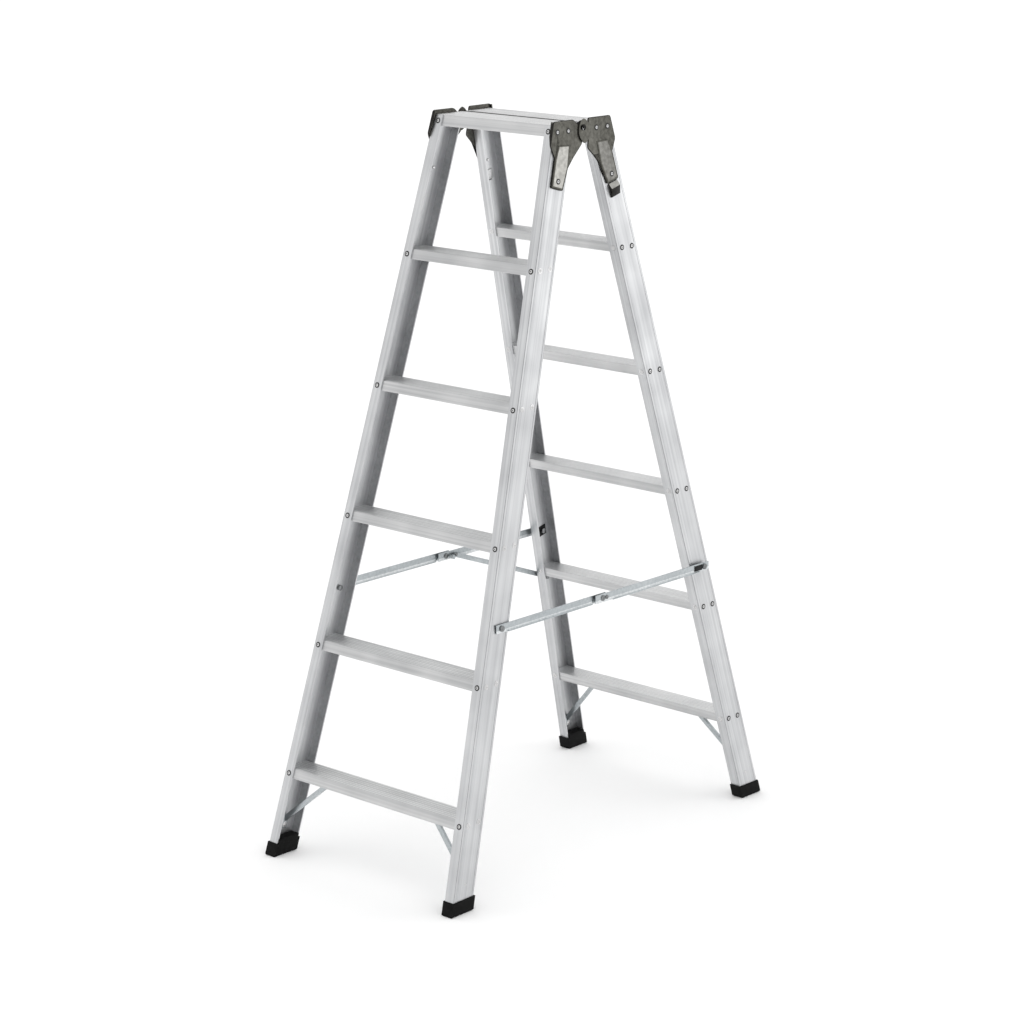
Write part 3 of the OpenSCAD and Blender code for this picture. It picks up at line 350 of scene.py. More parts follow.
def metal(name, pale, dull, grain, gloss, turn=(0, 0, 0)):
    """A metal whose colour, gloss and surface follow a stretched noise and patches; grain is per metre."""
    made, tree, output = new_material(name)
    place = add_node(tree, "ShaderNodeTexCoord").outputs["Object"]
    turned = add_node(tree, "ShaderNodeMapping", {"Vector": place, "Rotation": turn}, vector_type="TEXTURE")
    drawn = add_node(tree, "ShaderNodeMapping", {"Vector": turned, "Scale": grain}, vector_type="POINT")
    lines = add_node(
        tree, "ShaderNodeTexNoise", {"Vector": drawn, "Scale": 1.0, "Detail": 3.0, "Roughness": 0.6}
    )
    patch = 1 / bpy.context.scene.trestle_sizes.patch
    cloud = add_node(
        tree, "ShaderNodeTexNoise", {"Vector": place, "Scale": patch, "Detail": 2.0, "Roughness": 0.5}
    )
    part = add_node(tree, "ShaderNodeMath", {0: cloud, 1: 1 - LINES_SHARE}, operation="MULTIPLY")
    both = add_node(tree, "ShaderNodeMath", {0: lines, 1: LINES_SHARE, 2: part}, operation="MULTIPLY_ADD")
    low, high = METAL_SPAN
    spread = add_node(tree, "ShaderNodeMapRange", {"Value": both, "From Min": low, "From Max": high})
    mixed = add_node(tree, "ShaderNodeMix", {0: spread, 6: dull, 7: pale}, data_type="RGBA")
    sheen = add_node(
        tree, "ShaderNodeMapRange", {"Value": spread, "To Min": gloss[1], "To Max": gloss[0]}
    )
    lift, rise = METAL_BUMP
    bump = add_node(tree, "ShaderNodeBump", {"Height": lines, "Strength": lift, "Distance": rise})
    shader = add_node(tree, "ShaderNodeBsdfPrincipled", {
        "Base Color": mixed.outputs[2], "Metallic": 1.0, "Roughness": sheen, "Normal": bump,
    })
    tree.links.new(shader.outputs["BSDF"], output.inputs["Surface"])
    return made


def moulded(name, black, roughness, level):
    """Moulded rubber or plastic: grained in its surface, gloss and depth of black."""
    made, tree, output = new_material(name)
    place = add_node(tree, "ShaderNodeTexCoord").outputs["Object"]
    grain = 1 / bpy.context.scene.trestle_sizes.grit
    noise = add_node(tree, "ShaderNodeTexNoise", {"Vector": place, "Scale": grain, "Detail": 2.0})
    low, high = MOULD_SPAN
    speckle = add_node(tree, "ShaderNodeMapRange", {"Value": noise, "From Min": low, "From Max": high})
    dark = [MOULD_SHADE * part for part in black[:3]] + [1.0]
    shade = add_node(tree, "ShaderNodeMix", {0: speckle, 6: dark, 7: black}, data_type="RGBA")
    low, high = roughness - MOULD_GLOSS, roughness + MOULD_GLOSS
    sheen = add_node(tree, "ShaderNodeMapRange", {"Value": noise, "To Min": low, "To Max": high})
    lift, rise = MOULD_BUMP
    bump = add_node(tree, "ShaderNodeBump", {"Height": noise, "Strength": lift, "Distance": rise})
    shader = add_node(tree, "ShaderNodeBsdfPrincipled", {
        "Base Color": shade.outputs[2], "Roughness": sheen, "Specular IOR Level": level, "Normal": bump,
    })
    tree.links.new(shader.outputs["BSDF"], output.inputs["Surface"])
    return made


def finish_of(name):
    """One of the ladder's shared finishes, made when it is first asked for."""
    if name in bpy.data.materials:
        return bpy.data.materials[name]
    sizes, colours = bpy.context.scene.trestle_sizes, bpy.context.scene.trestle_colours
    across = 1 / sizes.die_line
    drawn = (1 / sizes.die_length, across, across)
    flecks = (1 / sizes.spangle,) * 3
    clouds = (1 / sizes.mottle,) * 3
    # Pale and dull colour, grain, and the roughness of the pale and of the dull places
    metals = {
        # Extruded, ribbed 6063: satin, drawn lines along the step, a little duller where it is trodden
        "extruded_step_aluminium": (colours.step, colours.step_dull, drawn, (0.38, 0.52)),
        # Grooves between the ribs: painted shade, greyer than the rib tops
        "painted_shade_rib_groove": (colours.groove, colours.groove_dull, drawn, (0.45, 0.6)),
        # Ribs and edges of the rungs: a painted highlight, a little paler than the grooves
        "painted_highlight_rib_aluminium": (colours.rib, colours.rib_dull, drawn, (0.34, 0.48)),
        # Ribs and edges of the top treads, painted pale as a highlight
        "painted_highlight_tread_aluminium": (colours.tread, colours.tread_dull, drawn, (0.32, 0.46)),
        # Tread faces in and along the gap: painted shade, dark where little light reaches; rough
        "painted_shade_tread_gap": (colours.cut, colours.cut_dull, clouds, (0.5, 0.65)),
        # Inner faces of the flanges: the same extrusion, painted darker as the shade inside the channel
        "painted_shade_channel_inside": (colours.inside, colours.inside_dull, clouds, (0.48, 0.62)),
        # Outer corners of the channels: painted shade, darker where the rounded corners turn away from the
        # light
        "painted_shade_channel_corner": (colours.corner, colours.corner_dull, clouds, (0.4, 0.55)),
        # Aluminium edges painted paler than the face beside them as a painted highlight, and smoother
        "painted_highlight_aluminium_edge": (colours.edge, colours.mill, clouds, (0.28, 0.4)),
        # Dark nickel on pressed steel: warm grey, soft sheen, cloudy from the press and from handling
        "dark_nickel_steel": (colours.plate, colours.plate_dull, clouds, (0.34, 0.48)),
        # The same coat, almost black: painted shade along the plates' outline and cut sides, under the lock
        # tabs and on the hinge pins
        "painted_shade_nickel_edge": (colours.plate_edge, colours.plate_edge_dull, clouds, (0.36, 0.5)),
        # The same coat painted pale on the front panels and the lock tabs' tops, as a painted highlight
        "painted_highlight_nickel_panel": (colours.panel, colours.panel_dull, clouds, (0.3, 0.44)),
        # The rear panels: a weaker painted highlight, as they catch less light
        "painted_weak_highlight_nickel_panel": (colours.rear_panel, colours.rear_panel_dull, clouds, (0.32, 0.46)),
        # Bright electroplated zinc: faintly blue, small flecks of differing gloss
        "bright_zinc_steel": (colours.zinc, colours.zinc_dull, flecks, (0.28, 0.44)),
        # The same zinc on the rolled lips, painted bright as a highlight
        "painted_highlight_zinc_lip": (colours.lip, colours.zinc, flecks, (0.3, 0.42)),
        # Aluminium blind rivet: bright and smooth, scuffed by the setting tool
        "bright_blind_rivet": (colours.rivet, colours.rivet_dull, flecks, (0.2, 0.32)),
        # Seam where the rivet's brim meets the sheet: painted shade, dark
        "painted_shade_rivet_rim": (colours.rim, colours.mandrel, flecks, (0.45, 0.6)),
        # Broken steel stub inside the rivet: dark and rough
        "steel_mandrel": (colours.mandrel, colours.plate_edge, flecks, (0.45, 0.6)),
        # Plated bolt heads: greyer than the bars, smooth
        "plated_bolt_steel": (colours.bolt, colours.bolt_dull, flecks, (0.25, 0.38)),
    }
    # Colour, roughness and strength of the reflection
    mouldings = {
        # Black moulded rubber: matt, faintly grained, hardly a reflection
        "black_moulded_rubber": (colours.rubber, 0.7, 0.12),
        # Black moulded plastic: a little glossier than the rubber
        "black_moulded_plastic": (colours.plastic, 0.5, 0.2),
    }
    if name in metals:
        return metal(name, *metals[name])
    return moulded(name, *mouldings[name])


def finishes_of(names):
    """Several shared finishes, in the order of their slots."""
    return [finish_of(name) for name in names]


def stile_finish(front, right):
    """Mill-finish 6063 extrusion: pale, satin, with faint drawn lines along the stile."""
    sizes, colours = bpy.context.scene.trestle_sizes, bpy.context.scene.trestle_colours
    across = 1 / sizes.die_line
    drawn = (across, across, 1 / sizes.die_length)
    turn = (-LEAN if front else LEAN, -FLARE if right else FLARE, 0)
    name = "mill_aluminium_{}_{}".format(*side_words(front, right))
    return metal(name, colours.mill, colours.mill_dull, drawn, (0.36, 0.5), turn)


def edit(piece):
    """Opens one object alone for editing, with nothing selected in it."""
    if bpy.context.mode != "OBJECT":
        bpy.ops.object.mode_set(mode="OBJECT")
    bpy.ops.object.select_all(action="DESELECT")
    piece.select_set(True)
    bpy.context.view_layer.objects.active = piece
    bpy.ops.object.mode_set(mode="EDIT")
    bpy.ops.mesh.select_mode(type="EDGE")
    bpy.ops.mesh.select_all(action="DESELECT")


def close():
    """Leaves editing with smooth curved faces and crisp flat ones."""
    bpy.ops.object.mode_set(mode="OBJECT")
    bpy.ops.object.shade_smooth_by_angle(angle=SMOOTH_TURN)


def pick_edges(piece, test):
    """Selects the edges between two faces that pass a test."""
    mesh = bmesh.from_edit_mesh(piece.data)
    for edge in mesh.edges:
        edge.select_set(False)
    picked = 0
    for edge in mesh.edges:
        if len(edge.link_faces) == 2 and test(edge):
            edge.select_set(True)
            picked += 1
    bmesh.update_edit_mesh(piece.data)
    return picked


def sharp(edge, least=0, turn=CREASE):
    """Whether an edge is a real corner, longer than a length in millimetres."""
    return edge.calc_length() > least * MM and edge.calc_face_angle() > math.radians(turn)


def ease(piece, test, width, segments=2, edge_slot=-1):
    """Rounds the edges that pass a test."""
    if not pick_edges(piece, test):
        raise RuntimeError(f"{piece.name} has no edge to round")
    bpy.ops.mesh.bevel(
        offset=width, offset_type="OFFSET", segments=segments, profile=0.5, affect="EDGES",
        clamp_overlap=True, material=edge_slot,
    )


def pick_no_faces(piece):
    """Goes over to picking faces, with none picked, and gives the mesh."""
    bpy.ops.mesh.select_mode(type="FACE")
    bpy.ops.mesh.select_all(action="DESELECT")
    return bmesh.from_edit_mesh(piece.data)


def inset(piece, faces, width):
    """Sets a border off inside some faces, whose inner parts stay selected."""
    for face in faces:
        face.select_set(True)
    bmesh.update_edit_mesh(piece.data)
    bpy.ops.mesh.inset(thickness=width, use_boundary=True, use_even_offset=True)


def paint(piece, choose):
    """Gives each face the slot that a function chooses for it; None leaves it as it is."""
    mesh = bmesh.from_edit_mesh(piece.data)
    mesh.normal_update()
    for face in mesh.faces:
        slot = choose(face)
        if slot is not None:
            face.material_index = slot
    bmesh.update_edit_mesh(piece.data)


def copy_of(name, finishes):
    """A copy of a solid, merged into whole faces and open for editing, with its finishes in its slots."""
    mesh = frame["nodes"][name].data.copy()
    mesh.materials.clear()
    for finish in finishes:
        mesh.materials.append(finish)
    piece = bpy.data.objects.new(name + "_piece", mesh)
    bpy.context.scene.collection.objects.link(piece)
    edit(piece)
    bpy.ops.mesh.select_all(action="SELECT")
    bpy.ops.mesh.remove_doubles(threshold=MERGE_MM * MM)
    bpy.ops.mesh.customdata_custom_splitnormals_clear()
    bpy.ops.mesh.dissolve_limited(angle_limit=FLAT_TURN)
    bpy.ops.mesh.select_all(action="DESELECT")
    return piece


def stand_for(piece, name):
    """Lets a piece stand for one CAD node and move with its body."""
    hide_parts(name)
    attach(piece, frame["nodes"][name]["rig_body"])


class TRESTLE_OT_stiles(bpy.types.Operator):
    """Eases the long edges of the four channel stiles"""

    bl_idname = "trestle.stiles"
    bl_label = "Stiles"
    corner_slot, edge_slot, inside_slot = 1, 2, 3

    def execute(self, context):
        width = context.scene.trestle_sizes.stile_edge
        others = ("painted_shade_channel_corner", "painted_highlight_aluminium_edge", "painted_shade_channel_inside")
        for front, right in STILES:
            name = "{}_stile_{}".format(*side_words(front, right))
            to_stile = stile_frame(front, right).inverted()
            piece = copy_of(name, [stile_finish(front, right)] + finishes_of(others))
            # The outer corners' rounding takes the painted shade
            ease(
                piece, lambda edge: sharp(edge, least=60) and self.at_corner(edge, to_stile), width,
                edge_slot=self.corner_slot,
            )
            # The stiles' other long edges take the painted highlight
            ease(piece, lambda edge: sharp(edge, least=60), width, edge_slot=self.edge_slot)
            paint(piece, lambda face: self.painted_shade_slot(face, to_stile))
            close()
            stand_for(piece, name)
        return {"FINISHED"}

    def at_corner(self, part, to_stile):
        """Whether all of an edge or face lies on an outer corner of the channel."""
        for end in part.verts:
            place = to_stile @ end.co / MM
            depth = place.y + FACE_REACH
            if place.x <= -CORNER_REACH or min(abs(depth), abs(depth - STILE_DEPTH)) >= CORNER_REACH:
                return False
        return True

    def painted_shade_slot(self, face, to_stile):
        """The painted shade of the narrow corner faces and of the flanges' inner faces."""
        if self.at_corner(face, to_stile):
            return self.corner_slot
        depth = (to_stile @ face.calc_center_median()).y / MM + FACE_REACH
        way = (to_stile.to_3x3() @ face.normal).y
        in_front = way > FACING and depth < FLANGE_REACH
        behind = way < -FACING and depth > STILE_DEPTH - FLANGE_REACH
        return self.inside_slot if in_front or behind else None


class TRESTLE_OT_steps(bpy.types.Operator):
    """Eases the edges and ribs of the rungs and treads"""

    bl_idname = "trestle.steps"
    bl_label = "Rungs and treads"
    rib_slot, groove_slot, cut_slot = 1, 2, 3

    def execute(self, context):
        # The rear rungs' ribs and grooves take paler finishes than the front ones: painted light, as their
        # tops catch more light
        front_rung = ("extruded_step_aluminium", "painted_highlight_rib_aluminium", "painted_shade_rib_groove")
        rear_lit = ("extruded_step_aluminium", "painted_highlight_aluminium_edge", "painted_highlight_rib_aluminium")
        tread = ("extruded_step_aluminium", "painted_highlight_tread_aluminium", "painted_shade_rib_groove", "painted_shade_tread_gap")
        for end, rows, rung in (("front", FRONT_ROWS, front_rung), ("rear", REAR_ROWS, rear_lit)):
            for level, height in enumerate(rows, 1):
                self.step(context, f"{end}_rung_{level}", rung, height + RUNG_HALF)
            self.step(context, f"{end}_tread", tread, TREAD_TOP)
        return {"FINISHED"}

    def step(self, context, name, finishes, top):
        """One rung or tread, with the tops of its ribs at a height."""
        sizes, is_tread = context.scene.trestle_sizes, top == TREAD_TOP
        piece = copy_of(name, finishes_of(finishes))
        if is_tread:
            # The treads' edges along the gap are rounded and take the painted shade
            ease(
                piece, lambda edge: sharp(edge, least=100, turn=80) and self.at_gap(edge), sizes.gap_edge,
                segments=3, edge_slot=self.cut_slot,
            )
        ease(piece, lambda edge: sharp(edge, least=100), sizes.step_edge, edge_slot=self.rib_slot)
        paint(piece, lambda face: self.ribbed_slot(face, top))
        if is_tread:
            paint(piece, self.gap_slot)
        close()
        stand_for(piece, name)

    def at_gap(self, edge):
        """Whether an edge runs along the top of the gap between the treads."""
        return all(
            abs(end.co.y) < GAP_EDGE_REACH * MM and end.co.z > HINGE_HEIGHT * MM for end in edge.verts
        )

    def ribbed_slot(self, face, top):
        """The painted highlight of the ribs' tops and the painted shade of the grooves."""
        below = top - face.calc_center_median().z / MM
        if face.normal.z <= FACING or below >= RIB_HEIGHT + 2 * SLACK:
            return None
        return self.rib_slot if below < RIB_HEIGHT / 2 else self.groove_slot

    def gap_slot(self, face):
        """The painted shade of the faces in and along the gap."""
        reach = max(abs(corner.co.y) for corner in face.verts)
        return self.cut_slot if reach < GAP_FACE_REACH * MM else None


class TRESTLE_OT_boots(bpy.types.Operator):
    """Rounds the moulded rubber boots"""

    bl_idname = "trestle.boots"
    bl_label = "Boots"

    def execute(self, context):
        sizes = context.scene.trestle_sizes
        for front, right in STILES:
            name = "{}_boot_{}".format(*side_words(front, right))
            to_stile = stile_frame(front, right).inverted()
            piece = copy_of(name, [finish_of("black_moulded_rubber")])
            ease(piece, lambda edge: self.upright_corner(edge, to_stile), sizes.boot_corner, segments=5)
            ease(piece, self.sole_edge, sizes.boot_sole, segments=3)
            ease(piece, lambda edge: sharp(edge, least=3, turn=40), sizes.boot_rim)
            close()
            stand_for(piece, name)
        return {"FINISHED"}

    def sole_edge(self, edge):
        """Whether an edge runs round the sole."""
        return all(end.co.z < 2 * SLACK * MM for end in edge.verts) and sharp(edge)

    def upright_corner(self, edge, to_stile):
        """Whether an edge is one of the boot's four outer corners."""
        ends = [to_stile @ corner.co / MM for corner in edge.verts]
        if abs(ends[0].z - ends[1].z) < BOOT_CORNER_RISE:
            return False
        for end in ends:
            depth = end.y + FACE_REACH
            beside = min(abs(end.x - BOOT_WALL), abs(end.x + STILE_FLANGE + BOOT_WALL))
            behind = min(abs(depth + BOOT_WALL), abs(depth - STILE_DEPTH - BOOT_WALL))
            if max(beside, behind) > BOOT_CORNER_REACH:
                return False
        return sharp(edge)


class TRESTLE_OT_plates(bpy.types.Operator):
    """Presses the edges of the hinge plates and lock tabs with painted shade and paints their raised panels
    pale as a highlight
    """

    bl_idname = "trestle.plates"
    bl_label = "Hinge plates"
    # The third finish is the panel on a plate and the keeper on a tab
    face_slot, edge_slot, panel_slot, keeper_slot = 0, 1, 2, 2

    def execute(self, context):
        for front, right in STILES:
            self.plate(context.scene.trestle_sizes, front, right)
        for right in (False, True):
            self.tab(context.scene.trestle_sizes, right)
        return {"FINISHED"}

    def plate(self, sizes, front, right):
        """One hinge plate: rounded outline with a rim of painted shade, and a raised panel painted paler as
        a highlight.
        """
        name = "{}_plate_{}".format(*side_words(front, right))
        to_stile = stile_frame(front, right).inverted()
        panel = "painted_highlight_nickel_panel" if front else "painted_weak_highlight_nickel_panel"
        piece = copy_of(name, finishes_of(("dark_nickel_steel", "painted_shade_nickel_edge", panel)))
        ease(piece, lambda edge: self.outline_corner(edge, to_stile), sizes.plate_corner, segments=4)
        panel_top = PLATE_THICK + PANEL_HEIGHT
        # The raised panel: a border in the plate's darker finish as painted shade, and a middle in the
        # painted highlight
        self.border(piece, to_stile, panel_top, sizes.panel_slope, self.panel_slot, self.face_slot)
        # A rim of painted shade inside the plate's outline
        self.border(piece, to_stile, PLATE_THICK, sizes.plate_rim, self.face_slot, self.edge_slot)
        width = sizes.plate_edge
        # The panel's own edges take the plate's darker finish and the other pressed edges the almost black
        # one, both as painted shade
        ease(
            piece, lambda edge: sharp(edge, least=2.5) and self.round_panel(edge, to_stile), width,
            segments=3, edge_slot=self.face_slot,
        )
        ease(piece, lambda edge: sharp(edge, least=2.5), width, segments=3, edge_slot=self.edge_slot)
        paint(piece, lambda face: self.side_slot(face, to_stile))
        close()
        stand_for(piece, name)

    def tab(self, sizes, right):
        """One lock tab, with a pale top painted as a highlight, painted shade on its lower slope and sides,
        and an aluminium keeper inside the channel.
        """
        name = "lock_tab_{}".format(side_words(False, right)[1])
        to_stile = stile_frame(False, right).inverted()
        # The tab's top takes the painted highlight, its lower slope and sides the painted shade
        finishes = ("painted_highlight_nickel_panel", "painted_shade_nickel_edge", "extruded_step_aluminium")
        piece = copy_of(name, finishes_of(finishes))
        paint(piece, lambda face: self.tab_slot(face, to_stile))
        ease(piece, lambda edge: sharp(edge, least=4), sizes.plate_edge)
        close()
        stand_for(piece, name)

    def border(self, piece, to_stile, level, width, inner_slot, border_slot):
        """Sets a border off inside the flat faces at one level above the web, with a finish for each."""
        mesh = pick_no_faces(piece)
        flat = [face for face in mesh.faces if self.lies_at(face, to_stile, level)]
        if not flat:
            raise RuntimeError(f"{piece.name} has no face at {level} mm")
        inset(piece, flat, width)

        def level_slot(face):
            if not self.lies_at(face, to_stile, level):
                return None
            by_panel = level == PLATE_THICK and any(self.round_panel(edge, to_stile) for edge in face.edges)
            return inner_slot if face.select or by_panel else border_slot

        paint(piece, level_slot)
        bpy.ops.mesh.select_all(action="DESELECT")
        bpy.ops.mesh.select_mode(type="EDGE")

    def outline_corner(self, edge, to_stile):
        """Whether an edge is a corner of the plate's outline, through its thickness."""
        ends = [to_stile @ corner.co / MM for corner in edge.verts]
        way = (ends[1] - ends[0]).normalized()
        at_face = abs(max(end.x for end in ends) - PLATE_THICK) < SLACK
        return abs(way.x) > THROUGH and at_face and edge.is_convex and sharp(edge, turn=OUTLINE_TURN)

    def lies_at(self, face, to_stile, level):
        """Whether all of a face lies at a level above the web."""
        return all(abs((to_stile @ corner.co).x / MM - level) < SLACK for corner in face.verts)

    def round_panel(self, edge, to_stile):
        """Whether an edge is one of a raised panel's own edges."""
        heights = [(to_stile @ corner.co).x / MM for face in edge.link_faces for corner in face.verts]
        return max(heights) > PLATE_THICK + PANEL_HEIGHT / 2 and min(heights) > PLATE_THICK - SLACK

    def side_slot(self, face, to_stile):
        """The painted shade of the plate's cut sides."""
        way = to_stile.to_3x3() @ face.normal
        level = (to_stile @ face.calc_center_median()).x / MM
        return self.edge_slot if abs(way.x) < SIDE_ON and level < PLATE_THICK else None

    def tab_slot(self, face, to_stile):
        """The keeper's finish inside the channel, and the painted shade of the tab's lower slope and sides.
        """
        if (to_stile @ face.calc_center_median()).x < -MM:
            return self.keeper_slot
        way = to_stile.to_3x3() @ face.normal
        return self.edge_slot if way.z < SIDE_ON else None


class TRESTLE_OT_stays(bpy.types.Operator):
    """Eases the folding stays, the prop, the struts and the plastic pads"""

    bl_idname = "trestle.stays"
    bl_label = "Stays and struts"
    lip_slot = 1

    def execute(self, context):
        sizes = context.scene.trestle_sizes
        for end in ("front", "rear"):
            for side in ("left", "right"):
                self.stay(f"{end}_stay_{side}", sizes)
                self.bar(f"{end}_strut_{side}", "bright_zinc_steel", sizes.strut_edge, "zinc_steel")
        self.bar("prop", "bright_zinc_steel", sizes.bar_edge, "zinc_steel")
        for name in ("stay_pad_left", "stay_pad_right", "stay_backings"):
            self.bar(name, "black_moulded_plastic", sizes.bar_edge, "black_plastic")
        return {"FINISHED"}

    def stay(self, name, sizes):
        """One stay with its lip rolled round an inner radius and painted bright as a highlight."""
        piece = copy_of(name, finishes_of(("bright_zinc_steel", "painted_highlight_zinc_lip")))
        if pick_edges(piece, self.lip_corner):
            ease(piece, self.lip_corner, sizes.lip_roll, segments=4, edge_slot=self.lip_slot)
        ease(piece, lambda edge: sharp(edge, least=3), sizes.bar_edge, segments=3)
        self.paint_lip_highlight(piece, sizes.lip_strip)
        close()
        stand_for(piece, name)

    def lip_corner(self, edge):
        """Whether an edge is the inner corner between a stay and its lip."""
        return sharp(edge, least=100) and not edge.is_convex

    def paint_lip_highlight(self, piece, strip):
        """Gives the strip above a stay's lip the painted highlight."""
        mesh = bmesh.from_edit_mesh(piece.data)
        low = min(corner.co.z for corner in mesh.verts)
        middle = min(corner.co.x for corner in mesh.verts) + STAY_THICK / 2 * MM
        top = low + strip
        bpy.ops.mesh.select_all(action="SELECT")
        bpy.ops.mesh.bisect(plane_co=(0, 0, top), plane_no=(0, 0, 1))

        def strip_slot(face):
            place = face.calc_center_median()
            in_strip = low + LIP_THICK * MM < place.z < top and place.x > middle
            return self.lip_slot if in_strip else None

        paint(piece, strip_slot)
        bpy.ops.mesh.select_all(action="DESELECT")

    def bar(self, name, finish, width, slot):
        """One bar or block with its longer edges eased."""
        piece = copy_of(name, [finish_of(finish)])
        ease(piece, lambda edge: sharp(edge, least=3), width, segments=3)
        close()
        stand_for(piece, name)


class TRESTLE_OT_bolts(bpy.types.Operator):
    """Rounds the heads of bolts, pins and studs"""

    bl_idname = "trestle.bolts"
    bl_label = "Bolts and pins"
    centre_slot = 1

    def execute(self, context):
        sizes = context.scene.trestle_sizes
        names = ["front_stay_bolts", "rear_stay_bolts", "prop_bolt"]
        for side in ("left", "right"):
            for kind in ("hinge_pin", "front_mid_pin", "rear_mid_pin", "stay_stud"):
                names.append(f"{kind}_{side}")
        for name in names:
            hinge = name.startswith("hinge_pin")
            # Hinge pins: almost black as painted shade, with a painted highlight in the centre
            finishes = ("painted_shade_nickel_edge", "bright_blind_rivet") if hinge else ("plated_bolt_steel",)
            piece = copy_of(name, finishes_of(finishes))
            ease(piece, lambda edge: sharp(edge, least=0.2, turn=40), sizes.bolt_edge, segments=3)
            if hinge:
                self.paint_pin_highlight(piece, sizes.pin_ring)
            close()
            stand_for(piece, name)
        return {"FINISHED"}

    def paint_pin_highlight(self, piece, width):
        """Paints a highlight: a bright centre set off inside the outer end of a hinge pin."""
        mesh = pick_no_faces(piece)
        outer_end = max(mesh.faces, key=lambda face: abs(face.calc_center_median().x))
        inset(piece, [outer_end], width)
        paint(piece, lambda face: self.centre_slot if face.select else None)
        bpy.ops.mesh.select_all(action="DESELECT")


